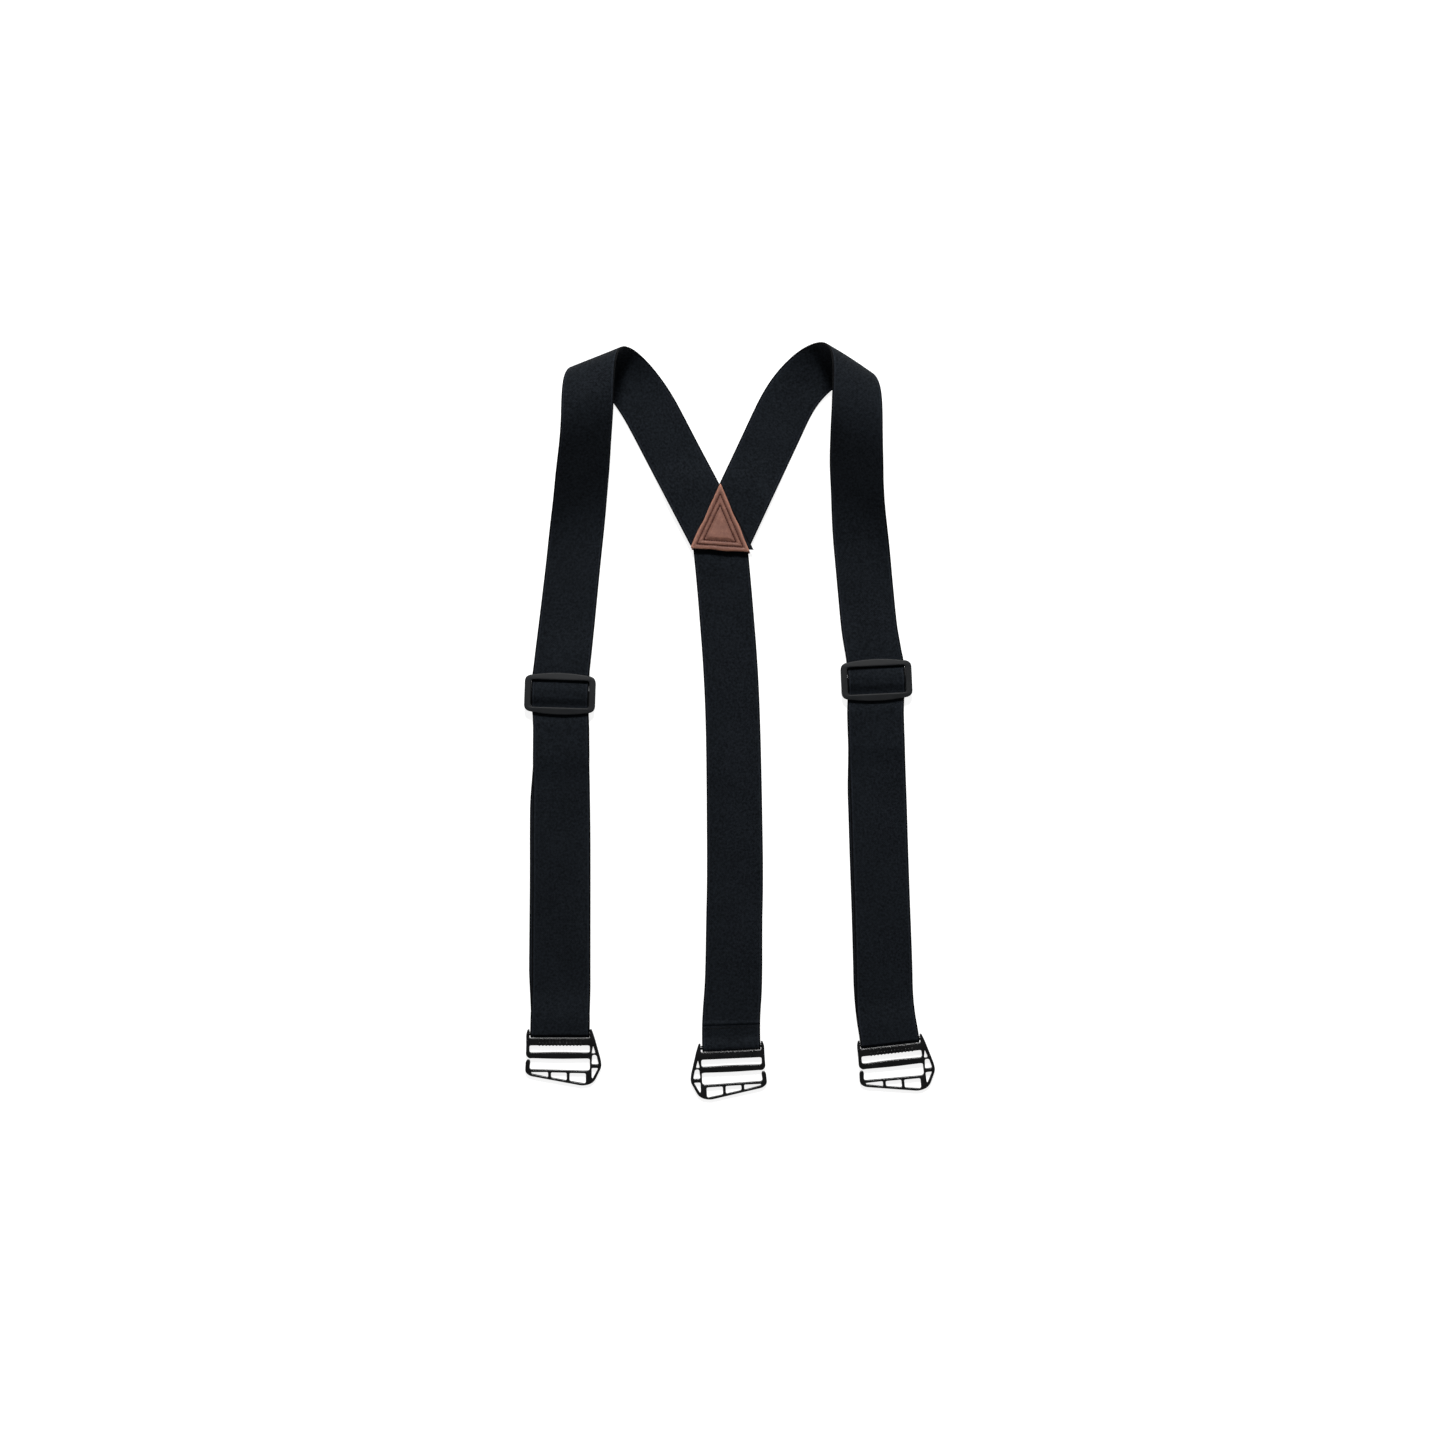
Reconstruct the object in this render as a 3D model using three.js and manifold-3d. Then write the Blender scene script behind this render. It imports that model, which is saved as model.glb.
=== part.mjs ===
// Y-back suspenders of elastic webbing, laid flat with both shoulder loops standing.
// Millimetres, +Z up, the floor at Z 0, the lay centred on the origin, the hooks towards -Y.
import * as THREE from 'three';
import { mergeVertices } from 'three/addons/utils/BufferGeometryUtils.js';
import Module from 'manifold-3d';

const wasm = await Module();
wasm.setup();

// ---- driving dimensions ----
const layerGap = 0.3; // clearance between touching pieces
const webbing = { width: 38, thickness: 1.3 };
const leather = { thickness: 1.2, cornerRadius: 1.2 };
const loop = { climbAngle: 40, climbLength: 60, curlLength: 130 };
const slider = {
  height: 29.4, bow: 1.7, cornerRadius: 5,
  sideGap: 1.25, railWidth: 4.5, barHeight: 5.25, windowRadius: 1.6,
  barRadius: 1.1, plateThickness: 2.4,
};
const hook = {
  barRadius: 1.4, plateThickness: 2.6, sideGap: 2.1, foldRoom: 1, gripLength: 4.7,
  threadSlot: 4.6, crossBar: 4.3, beltSlot: 8.4, lowerPart: 10.9, cornerRadius: 3,
};
const grip = { ridges: 13, pitch: 2.44, width: 1.3, proud: 0.3, overhang: 0.5 };
const endFold = { legLength: 6, tabLength: 42, tabDrop: 8, tailLength: 10.5, tailDrop: 7.5 };
const stitch = { width: 0.7, height: 0.4 };
const patch = {
  at: [-5.6, 118], turn: -3.8, overhang: 2.05, height: 46.9, lean: -2.8,
  hem: 3.2, innerInset: 9.2, strapCover: 25.5, armSpread: 7,
};

// Every route runs up its strap: heading is degrees clockwise from +Y, and each bend
// is [where it starts, how long it takes, how far it turns].
const sides = {
  left: {
    hand: 1,
    sliderAt: [-117.3, 17.9], sliderHeading: 1.8,
    upperBends: [[2, 18, 4.4], [107, 50, -4.4], [275, 60, -17.9]],
    foldAt: [-88.1, 250.2], foldAngle: 21.8,
    roll: 0, rollAt: 228, rollIn: 55, rollOut: 58,
    lowerBends: [[2, 20, -1.8]], lowerLength: 237.3,
    backLayerShift: -2, patchLevel: 3,
  },
  right: {
    hand: -1,
    sliderAt: [103.6, 27.6], sliderHeading: -2.6,
    upperBends: [[0, 16, -4.6], [20, 30, 1.9], [77, 50, 6.5], [265, 60, 30.6]],
    foldAt: [73.9, 255.9], foldAngle: 28.4,
    roll: 30, rollAt: 218, rollIn: 55, rollOut: 58,
    lowerBends: [[2, 20, 1], [205, 40, -4.8]], lowerLength: 252.8,
    backLayerShift: -1.6, patchLevel: 2,
  },
};
const back = {
  heading: -6, bends: [[7, 150, 5], [147, 150, 3.3], [309, 30, -4.9]],
  length: 347, endAcross: -0.4,
};

// ---- heights that follow from them ----
const layer = webbing.thickness + layerGap;
const hookFoldInner = hook.barRadius + layerGap;
const hookFoldOuter = hookFoldInner + webbing.thickness;
const sliderFoldInner = slider.barRadius + layerGap;
const sliderFoldOuter = sliderFoldInner + webbing.thickness;
const underBarLevel = 2 * layer; // webbing's underside below the slider's outer bars
const sliderPlateLevel = underBarLevel + webbing.thickness + layerGap;
const humpLevel = 2 * sliderFoldOuter + layerGap; // its underside over the middle bar
const stitchLevel = 2 * webbing.thickness + 2 * layerGap;
const sliderWidth = webbing.width + 2 * (slider.sideGap + slider.railWidth);
const sliderWindow = slider.height / 2 - slider.barHeight; // half its height
const slotWidth = webbing.width + 2 * hook.sideGap;
// down the hook from its bar: the lines where each of its bars and slots ends
const gripTop = hookFoldOuter + hook.foldRoom;
const gripBottom = gripTop + hook.gripLength;
const threadSlotEnd = gripBottom + hook.threadSlot;
const crossBarEnd = threadSlotEnd + hook.crossBar;
const beltSlotEnd = crossBarEnd + hook.beltSlot;
const hookReach = beltSlotEnd + hook.lowerPart;
const hookTilt = Math.asin((hookFoldOuter - hook.plateThickness / 2 - 0.05) / hookReach);
const crossingHalf = slider.height / 2 + slider.bow - 0.4;
const patchLevelOf = (count) => leather.thickness + layerGap + (count - 1) * layer;
const innerLeatherLevel = patchLevelOf(4);
const armOverlap = webbing.width + patch.armSpread; // how far the arms lie one on the other

const colours = {
  webbing: { color: 0x14171b, roughness: 0.9, metalness: 0 },
  plastic: { color: 0x26282b, roughness: 0.45, metalness: 0 },
  leather: { color: 0x8b5a4b, roughness: 0.65, metalness: 0 },
  thread: { color: 0x141210, roughness: 0.8, metalness: 0 },
};

// ---- helpers ----
const degrees = THREE.MathUtils.degToRad;

function smooth(x) {
  const t = Math.min(Math.max(x, 0), 1);
  return t * t * (3 - 2 * t);
}

function named(name, geometry, finish) {
  const mesh = new THREE.Mesh(geometry, new THREE.MeshStandardMaterial(colours[finish]));
  mesh.name = name;
  return mesh;
}

function toSolid(geometry) {
  const bare = geometry.clone();
  bare.deleteAttribute('normal');
  bare.deleteAttribute('uv');
  const merged = mergeVertices(bare, 1e-4);
  return new wasm.Manifold(new wasm.Mesh({
    numProp: 3,
    vertProperties: new Float32Array(merged.attributes.position.array),
    triVerts: new Uint32Array(merged.index.array),
  }));
}

function toGeometry(solid) {
  const mesh = solid.getMesh();
  const geometry = new THREE.BufferGeometry();
  geometry.setAttribute('position', new THREE.BufferAttribute(mesh.vertProperties, 3));
  geometry.setIndex(new THREE.BufferAttribute(mesh.triVerts, 1));
  return geometry;
}

function union(geometries) {
  return toGeometry(geometries.map(toSolid).reduce((whole, next) => whole.add(next)));
}

// The corner of an outline is cut back by its radius and turned with a curve.
function rounded(path, corners) {
  const points = corners.map(([x, y, radius = 0]) => ({ at: new THREE.Vector2(x, y), radius }));
  points.forEach(({ at, radius }, i) => {
    const before = points.at(i - 1).at;
    const after = points[(i + 1) % points.length].at;
    const reach = Math.min(radius, at.distanceTo(before) / 2, at.distanceTo(after) / 2);
    const enter = at.clone().add(before.clone().sub(at).setLength(reach));
    const leave = at.clone().add(after.clone().sub(at).setLength(reach));
    if (i === 0) path.moveTo(enter.x, enter.y);
    else path.lineTo(enter.x, enter.y);
    if (reach > 0) path.quadraticCurveTo(at.x, at.y, leave.x, leave.y);
  });
  path.closePath();
  return path;
}

function plate(shape, thickness, bottom, curveSegments = 4) {
  const options = { depth: thickness, bevelEnabled: false, curveSegments };
  return new THREE.ExtrudeGeometry(shape, options).translate(0, 0, bottom);
}

// A side view in (along the strap, up), carried across the strap's width.
function acrossWidth(shape, width) {
  const options = { depth: width, bevelEnabled: false, curveSegments: 12 };
  const turn = new THREE.Matrix4().makeBasis(
    new THREE.Vector3(0, 1, 0), new THREE.Vector3(0, 0, 1), new THREE.Vector3(1, 0, 0),
  );
  return new THREE.ExtrudeGeometry(shape, options).applyMatrix4(turn).translate(-width / 2, 0, 0);
}

// A route of gentle bends: the heading is summed from smooth turns, and the points follow it.
function makeRoute({ at, heading, bends, length, way = 1 }) {
  const step = 0.5;
  const count = Math.ceil(length / step) + 1;
  const headingAt = (s) => degrees(
    bends.reduce((sum, [from, over, turn]) => sum + turn * smooth((s - from) / over), heading),
  );
  const points = [new THREE.Vector2(...at)];
  for (let i = 1; i <= count; i += 1) {
    const angle = headingAt((i - 0.5) * step);
    const move = new THREE.Vector2(Math.sin(angle), Math.cos(angle)).multiplyScalar(way * step);
    points.push(points[i - 1].clone().add(move));
  }
  return {
    length,
    headingAt,
    // the point at s along the route and t to the right of it
    pointAt(s, t) {
      const i = Math.min(Math.max(Math.floor(s / step), 0), count - 1);
      const angle = headingAt(s);
      const middle = points[i].clone().lerp(points[i + 1], s / step - i);
      return middle.add(new THREE.Vector2(Math.cos(angle), -Math.sin(angle)).multiplyScalar(t));
    },
  };
}

// The shoulder loop: a flat plan is rolled about a level fold line without stretching.
// Travelling up the strap the slope rises to the climb angle and then curls over and back.
function makeFold({ at, angle, hand }) {
  const along = new THREE.Vector2(hand * Math.cos(degrees(angle)), Math.sin(degrees(angle)));
  const up = new THREE.Vector2(-hand * Math.sin(degrees(angle)), Math.cos(degrees(angle)));
  const climb = degrees(loop.climbAngle);
  const rise = (b) => climb * smooth(b / loop.climbLength);
  const curl = (c) => -(Math.PI + climb) * smooth(c / loop.curlLength);
  const step = 0.25;
  const heightOver = (slope, length) => {
    let height = 0;
    for (let b = step / 2; b < length; b += step) height += Math.sin(slope(b)) * step;
    return height;
  };
  const risen = heightOver(rise, loop.climbLength);
  const fallen = -heightOver((c) => climb + curl(c), loop.curlLength);
  const straight = (fallen - risen) / Math.sin(climb);
  const curlStart = loop.climbLength + straight;
  const length = curlStart + loop.curlLength;
  const slopeAt = (b) => rise(b) + curl(b - curlStart);
  const count = Math.ceil(length / step);
  const side = [{ forward: 0, height: 0 }];
  for (let i = 1; i <= count; i += 1) {
    const slope = slopeAt((i - 0.5) * step);
    const last = side[i - 1];
    side.push({
      forward: last.forward + Math.cos(slope) * step,
      height: last.height + Math.sin(slope) * step,
    });
  }
  const nose = Math.max(...side.map((p) => p.forward));
  // place a point of the flat plan, n above its middle surface
  return (x, y, n) => {
    const from = new THREE.Vector2(x - at[0], y - at[1]);
    const u = from.dot(along);
    const b = from.dot(up) + nose;
    const inside = Math.min(Math.max(b, 0), count * step);
    const i = Math.min(Math.floor(inside / step), count - 1);
    const share = inside / step - i;
    const slope = slopeAt(inside);
    const beyond = (b - inside) * Math.cos(slope);
    const forward = THREE.MathUtils.lerp(side[i].forward, side[i + 1].forward, share)
      + beyond - Math.sin(slope) * n - nose;
    const height = THREE.MathUtils.lerp(side[i].height, side[i + 1].height, share)
      + Math.cos(slope) * n;
    return new THREE.Vector3(
      at[0] + along.x * u + up.x * forward,
      at[1] + along.y * u + up.y * forward,
      height,
    );
  };
}

// A length of webbing: a box whose points are placed by (along s, across t, above n).
function strip({ from, to, steps, across = 4, place }) {
  const geometry = new THREE.BoxGeometry(webbing.width, 1, webbing.thickness, across, steps, 1);
  const position = geometry.attributes.position;
  for (let i = 0; i < position.count; i += 1) {
    const t = position.getX(i);
    const start = from(t);
    const s = start + (to(t) - start) * (position.getY(i) + 0.5);
    const point = place(s, t, position.getZ(i));
    position.setXYZ(i, point.x, point.y, point.z);
  }
  geometry.computeVertexNormals();
  return geometry;
}

const at = (value) => () => value;

// ---- hook ----
// Seen from its face, the bar on the X axis and the belt slot towards -Y.
function hookOutline() {
  const half = slotWidth / 2;
  const { cornerRadius } = hook;
  const outer = [
    [0.6 - half, 2.6, 1], [-half - 1.1, 1, 2], [-half - 2.4, 2 - crossBarEnd, 1.5],
    [0.1 - half, -crossBarEnd, 0.8], [half, -crossBarEnd - 0.1, 1.2],
    [half, -beltSlotEnd, cornerRadius], [-half, 0.9 - beltSlotEnd, cornerRadius],
    [0.6 - half, -crossBarEnd - 1.8, 1], [-half - 1.1, -crossBarEnd - 0.6, 1.2],
    [-half - 2.6, -crossBarEnd - 2, 1], [-half - 3.1, -beltSlotEnd - 2.4, 3],
    [0.6 - half, -beltSlotEnd - 3.8, 1.5], [half - 3.6, -hookReach, 4],
    [half + 2.5, 2.5 - hookReach, 4], [half + 8.1, 2.4 - beltSlotEnd, 2],
    [half + 7.9, -crossBarEnd - 2.4, 2], [half + 2.1, -0.8, 3], [half - 0.4, 2.6, 1],
    [half - 0.3, 1.6, 0.5], [half, -gripTop, 0.6], [-half, -gripTop, 0.6], [0.3 - half, 1.6, 0.5],
  ];
  const webTop = -beltSlotEnd - 1.1; // top of the openings below the belt slot
  const [innerLeft, innerRight] = [-half / 3 - 0.1, half / 3 - 1.1];
  const threadSlot = [
    [-half, 0.5 - gripBottom, 1.5], [half, 0.5 - gripBottom, 1.5],
    [half, -threadSlotEnd, 1.5], [-half, -threadSlotEnd, 1.5],
  ];
  const lowerOpenings = [
    [[1.1 - half, webTop, 0.6], [innerLeft - 1, webTop, 0.8], [innerLeft - 1, webTop - 3.5, 0.8],
      [1.5 - half, webTop - 1.2, 0.3]],
    [[innerLeft + 1, webTop, 1], [innerRight - 1, webTop - 0.3, 1], [innerRight - 1, webTop - 5.8, 1],
      [innerLeft + 1, webTop - 3.8, 1]],
    [[innerRight + 1, webTop - 0.5, 1], [half - 2.8, webTop - 0.8, 1],
      [half - 2.9, webTop - 8.1, 1.2], [innerRight + 1, webTop - 6.2, 1.2]],
  ];
  const sideOpenings = [
    [[half + 2.3, 9.2 - crossBarEnd, 0.6], [half + 4, 3.7 - crossBarEnd, 0.9],
      [half + 1.4, 3.7 - crossBarEnd, 0.7]],
    [[half + 1.7, 2.6 - crossBarEnd, 1.2], [half + 4.6, 2.6 - crossBarEnd, 1.2],
      [half + 6.2, 4.4 - beltSlotEnd, 0.8], [half + 1.2, 4.4 - beltSlotEnd, 0.8]],
    [[half + 1.2, 1.8 - beltSlotEnd, 1], [half + 5.9, 1.8 - beltSlotEnd, 1],
      [half + 1.9, 5.3 - hookReach, 0.6], [half + 1.3, 5.9 - hookReach, 0.6]],
  ];
  const shape = rounded(new THREE.Shape(), outer);
  shape.holes = [threadSlot, ...lowerOpenings, ...sideOpenings]
    .map((corners) => rounded(new THREE.Path(), corners));
  return shape;
}

function hookGeometry() {
  const half = hook.plateThickness / 2;
  const body = plate(hookOutline(), hook.plateThickness, -half, 3);
  const bar = new THREE.CylinderGeometry(hook.barRadius, hook.barRadius, slotWidth + 1, 16);
  bar.rotateZ(Math.PI / 2);
  const ridges = Array.from({ length: grip.ridges }, (_, i) => {
    const middle = (i - (grip.ridges - 1) / 2) * grip.pitch;
    const size = [grip.width, hook.gripLength + grip.overhang, hook.plateThickness + 2 * grip.proud];
    return new THREE.BoxGeometry(...size)
      .translate(middle, -(gripTop + gripBottom - grip.overhang) / 2, 0);
  });
  return union([body, bar, ...ridges]);
}

// ---- slider ----
function sliderGeometry() {
  const { height, bow, cornerRadius, railWidth, barRadius } = slider;
  const [x, y] = [sliderWidth / 2, height / 2];
  const shape = new THREE.Shape();
  shape.moveTo(-x + cornerRadius, -y + bow);
  shape.quadraticCurveTo(0, -y - bow, x - cornerRadius, -y + bow);
  shape.quadraticCurveTo(x, -y + bow + 0.6, x, -y + bow + cornerRadius);
  shape.lineTo(x, y - bow - cornerRadius);
  shape.quadraticCurveTo(x, y - bow - 0.6, x - cornerRadius, y - bow);
  shape.quadraticCurveTo(0, y + bow, -x + cornerRadius, y - bow);
  shape.quadraticCurveTo(-x, y - bow - 0.6, -x, y - bow - cornerRadius);
  shape.lineTo(-x, -y + bow + cornerRadius);
  shape.quadraticCurveTo(-x, -y + bow + 0.6, -x + cornerRadius, -y + bow);
  const [wx, wy, r] = [x - railWidth, sliderWindow, slider.windowRadius];
  shape.holes = [rounded(new THREE.Path(), [[-wx, -wy, r], [-wx, wy, r], [wx, wy, r], [wx, -wy, r]])];
  const top = sliderPlateLevel + slider.plateThickness;
  const railBottom = sliderFoldOuter - barRadius;
  const frame = plate(shape, slider.plateThickness, sliderPlateLevel, 6);
  const railSize = [railWidth, 2 * sliderWindow - 0.9, top - 0.4 - railBottom];
  const rails = [-1, 1].map((hand) => new THREE.BoxGeometry(...railSize)
    .translate(hand * (x - railWidth / 2 - 0.05), 0, (top - 0.4 + railBottom) / 2));
  const bar = new THREE.CylinderGeometry(barRadius, barRadius, sliderWidth - 2, 12);
  bar.rotateZ(Math.PI / 2).translate(0, 0, sliderFoldOuter);
  return union([frame, ...rails, bar]);
}

// ---- folds of webbing round the bars ----
function hookFold() {
  const shape = new THREE.Shape();
  const [outer, inner, leg] = [hookFoldOuter, hookFoldInner, endFold.legLength];
  shape.moveTo(leg, outer);
  shape.lineTo(0, outer);
  shape.absarc(0, 0, outer, Math.PI / 2, 1.5 * Math.PI, false);
  shape.lineTo(leg, -outer);
  shape.lineTo(leg, -inner);
  shape.lineTo(0, -inner);
  shape.absarc(0, 0, inner, 1.5 * Math.PI, Math.PI / 2, true);
  shape.lineTo(leg, inner);
  return acrossWidth(shape, webbing.width);
}

// The back strap goes under its hook's bar and comes back over it as a short sewn tail.
function backHookFold() {
  const shape = new THREE.Shape();
  const [outer, inner] = [hookFoldOuter, hookFoldInner];
  const { tailLength, tailDrop } = endFold;
  const tailTop = -outer + layer + webbing.thickness;
  shape.moveTo(tailLength, tailTop);
  shape.lineTo(tailDrop, tailTop);
  shape.lineTo(0.8, outer - 0.1);
  shape.lineTo(0, outer);
  shape.absarc(0, 0, outer, Math.PI / 2, 1.5 * Math.PI, false);
  shape.lineTo(tailLength, -outer);
  shape.lineTo(tailLength, -inner);
  shape.lineTo(0, -inner);
  shape.absarc(0, 0, inner, 1.5 * Math.PI, Math.PI / 2, true);
  shape.lineTo(0.4, inner - 0.1);
  shape.lineTo(tailDrop - 0.4, tailTop - webbing.thickness);
  shape.lineTo(tailLength, tailTop - webbing.thickness);
  return acrossWidth(shape, webbing.width);
}

// The lower layer comes up under the slider, turns over its middle bar and ends as a tab.
function sliderEndFold() {
  const shape = new THREE.Shape();
  const [outer, inner] = [sliderFoldOuter, sliderFoldInner];
  const { tabLength, tabDrop } = endFold;
  const tabTop = -outer + layer + webbing.thickness;
  shape.moveTo(-tabLength, -outer);
  shape.lineTo(0, -outer);
  shape.absarc(0, 0, outer, -Math.PI / 2, Math.PI / 2, false);
  shape.lineTo(-tabDrop, tabTop);
  shape.lineTo(-tabLength, tabTop);
  shape.lineTo(-tabLength, tabTop - webbing.thickness);
  shape.lineTo(-tabDrop - 0.5, tabTop - webbing.thickness);
  shape.lineTo(-0.4, inner - 0.1);
  shape.lineTo(0, inner);
  shape.absarc(0, 0, inner, Math.PI / 2, -Math.PI / 2, true);
  shape.lineTo(-tabLength, -inner);
  return acrossWidth(shape, webbing.width);
}

// The front webbing dips under the slider's outer bars and humps over its middle bar.
function sliderCrossing({ upper, lower }) {
  const flatTop = 2;
  const slope = sliderWindow - flatTop - layerGap / 2;
  const rise = humpLevel - underBarLevel;
  return strip({
    from: at(-crossingHalf),
    to: at(crossingHalf),
    steps: 20,
    across: 1,
    place: (s, t, n) => {
      const level = underBarLevel + rise * (1 - smooth((Math.abs(s) - flatTop) / slope));
      const flat = s < 0 ? lower.pointAt(-s, t) : upper.pointAt(s, t);
      return new THREE.Vector3(flat.x, flat.y, level + webbing.thickness / 2 + n);
    },
  });
}

// ---- stitching ----
function stitchRing(corners, holeCorners, bottom) {
  const shape = rounded(new THREE.Shape(), corners);
  shape.holes = [rounded(new THREE.Path(), holeCorners)];
  return plate(shape, stitch.height, bottom, 2);
}

function boxOfStitches(width, length, middle, bottom) {
  const ring = (inset) => {
    const [x, y] = [width / 2 - inset, length / 2 - inset];
    return [[-x, middle - y, 0.5], [x, middle - y, 0.5], [x, middle + y, 0.5], [-x, middle + y, 0.5]];
  };
  return stitchRing(ring(0), ring(stitch.width), bottom);
}

// A triangle drawn smaller, with every side moved in by the same distance.
function insetTriangle(corners, distance) {
  const points = corners.map((corner) => new THREE.Vector2(...corner));
  const lengths = points.map((_, i) => points[(i + 1) % 3].distanceTo(points[(i + 2) % 3]));
  const around = lengths.reduce((sum, length) => sum + length);
  const centre = points.reduce(
    (sum, point, i) => sum.addScaledVector(point, lengths[i] / around), new THREE.Vector2(),
  );
  const [a, b] = [points[1].clone().sub(points[0]), points[2].clone().sub(points[0])];
  const inradius = Math.abs(a.cross(b)) / around;
  const scale = 1 - distance / inradius;
  return points.map((point) => point.sub(centre).multiplyScalar(scale).add(centre).toArray());
}

// the patch as it lies: its base across the back strap, its point between the arms
function patchTriangle() {
  const half = webbing.width / 2 + patch.overhang;
  const middle = new THREE.Vector2(...patch.at);
  return [[patch.lean, patch.height], [-half, 0], [half, 0]].map(([x, y]) => (
    new THREE.Vector2(x, y).rotateAround(new THREE.Vector2(), degrees(patch.turn)).add(middle).toArray()
  ));
}

function leatherTriangle(corners, bottom) {
  const shape = rounded(new THREE.Shape(), corners.map((c) => [...c, leather.cornerRadius]));
  return plate(shape, leather.thickness, bottom, 4);
}

function patchStitching(inset) {
  const ring = (distance) => insetTriangle(patchTriangle(), distance).map((c) => [...c, 0.8]);
  return stitchRing(ring(inset), ring(inset + stitch.width),
    innerLeatherLevel + leather.thickness + layerGap);
}

// ---- assemblies ----
// both routes start at the slider: one up over the shoulder, one down to the hook
function sideRoutes(side) {
  const start = { at: side.sliderAt, heading: side.sliderHeading };
  return {
    upper: makeRoute({ ...start, bends: side.upperBends, length: 600 }),
    lower: makeRoute({ ...start, bends: side.lowerBends, length: side.lowerLength, way: -1 }),
  };
}

// the strap ends where its middle line comes down to the base of the patch
function lengthToPatch(route, fold) {
  const base = new THREE.Vector2(...patch.at);
  const down = new THREE.Vector2(0, -1).rotateAround(new THREE.Vector2(), degrees(patch.turn));
  const below = (s) => {
    const flat = route.pointAt(s, 0);
    const point = fold(flat.x, flat.y, 0);
    return new THREE.Vector2(point.x, point.y).sub(base).dot(down) > 0;
  };
  let [short, long] = [400, 600];
  while (long - short > 1e-3) {
    const middle = (short + long) / 2;
    if (below(middle)) long = middle;
    else short = middle;
  }
  return short;
}

function upperStraps(name, side, route) {
  const { hand } = side;
  const fold = makeFold({ at: side.foldAt, angle: side.foldAngle, hand });
  const armLevel = patchLevelOf(side.patchLevel);
  const upperLength = lengthToPatch(route, fold);
  const overlapStart = upperLength - armOverlap;
  const place = (s, t, n) => {
    const roll = degrees(side.roll) * smooth((s - side.rollAt + side.rollIn) / side.rollIn)
      * (1 - smooth((s - side.rollAt) / side.rollOut));
    const flat = route.pointAt(s, t * Math.cos(roll) + n * Math.sin(roll));
    const above = hand * t * Math.sin(roll) + n * Math.cos(roll);
    const point = fold(flat.x, flat.y, above);
    const nearSlider = underBarLevel * (1 - smooth((s - crossingHalf) / 40));
    const nearPatch = armLevel * smooth((s - overlapStart + 32) / 32);
    point.z += webbing.thickness / 2 + nearSlider + nearPatch;
    return point;
  };
  const cutAngle = degrees(2 * side.foldAngle - hand * patch.turn) + hand * route.headingAt(upperLength);
  const [frontEnd, loopEnd] = [112, 330];
  const cuts = [
    [`${name}_front_strap`, at(crossingHalf + layerGap), at(frontEnd - layerGap), 12],
    [`${name}_shoulder_loop`, at(frontEnd), at(loopEnd), 44],
    [`${name}_back_arm`, at(loopEnd + layerGap), (t) => upperLength + hand * t * Math.tan(cutAngle), 14],
  ];
  return cuts.map(([label, from, to, steps]) => named(label, strip({ from, to, steps, place }), 'webbing'));
}

function lowerStraps(name, side, route) {
  const { lowerLength: length } = side;
  // both layers run from the hook up to the slider
  const placed = (lift, shift) => (s, t, n) => {
    const flat = route.pointAt(length - s, t + shift(s));
    return new THREE.Vector3(flat.x, flat.y, webbing.thickness / 2 + n + lift(length - s));
  };
  const toHook = 2 * hookFoldOuter - webbing.thickness - layer;
  const frontLift = (d) => underBarLevel + 0.8 * smooth((d - crossingHalf) / 5)
    - (underBarLevel + 0.8 - layer) * smooth((d - endFold.tabLength - 1) / 20)
    + toHook * smooth((d - length + endFold.legLength + 26) / 25);
  const bulge = (s) => {
    const [first, last] = [endFold.legLength, length - endFold.tabLength];
    return side.backLayerShift * smooth((s - first) / 40) * smooth((last - s) / 40);
  };
  const legEnd = endFold.legLength + layerGap;
  return [
    named(`${name}_lower_front_layer`, strip({
      from: at(legEnd), to: at(length - crossingHalf - layerGap), steps: 24, across: 2,
      place: placed(frontLift, at(0)),
    }), 'webbing'),
    named(`${name}_lower_back_layer`, strip({
      from: at(legEnd), to: at(length - endFold.tabLength - layerGap), steps: 16, across: 2,
      place: placed(at(0), bulge),
    }), 'webbing'),
    hookAssembly(name, route.pointAt(length, 0), route.headingAt(length), hookFold(), false),
  ];
}

// lays what was drawn pointing down a straight strap along the strap's own route
function laidAlong(route, geometry) {
  const position = geometry.attributes.position;
  for (let i = 0; i < position.count; i += 1) {
    const flat = route.pointAt(-position.getY(i), position.getX(i));
    position.setXY(i, flat.x, flat.y);
  }
  geometry.computeVertexNormals();
  return geometry;
}

function sliderAssembly(name, side, lower) {
  const body = named(`${name}_slider`, sliderGeometry(), 'plastic');
  body.position.set(...side.sliderAt, 0);
  body.rotation.z = -degrees(side.sliderHeading);
  const tabMiddle = -(endFold.tabLength + crossingHalf) / 2 - 2;
  const fold = sliderEndFold().translate(0, 0, sliderFoldOuter);
  const stitches = boxOfStitches(webbing.width - 8, 16, tabMiddle, stitchLevel);
  return [
    body,
    named(`${name}_slider_end_fold`, laidAlong(lower, fold), 'webbing'),
    named(`${name}_slider_end_stitching`, laidAlong(lower, stitches), 'thread'),
  ];
}

// flipped turns the hook over, so that its other face is up
function hookAssembly(name, point, heading, fold, flipped) {
  const group = new THREE.Group();
  group.position.set(point.x, point.y, hookFoldOuter);
  group.rotation.z = -heading;
  const tilted = new THREE.Group();
  tilted.rotation.x = hookTilt;
  const body = named(`${name}_hook`, hookGeometry(), 'plastic');
  body.rotation.y = flipped ? Math.PI : 0;
  tilted.add(body);
  group.add(tilted, named(`${name}_hook_fold`, fold, 'webbing'));
  return group;
}

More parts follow.
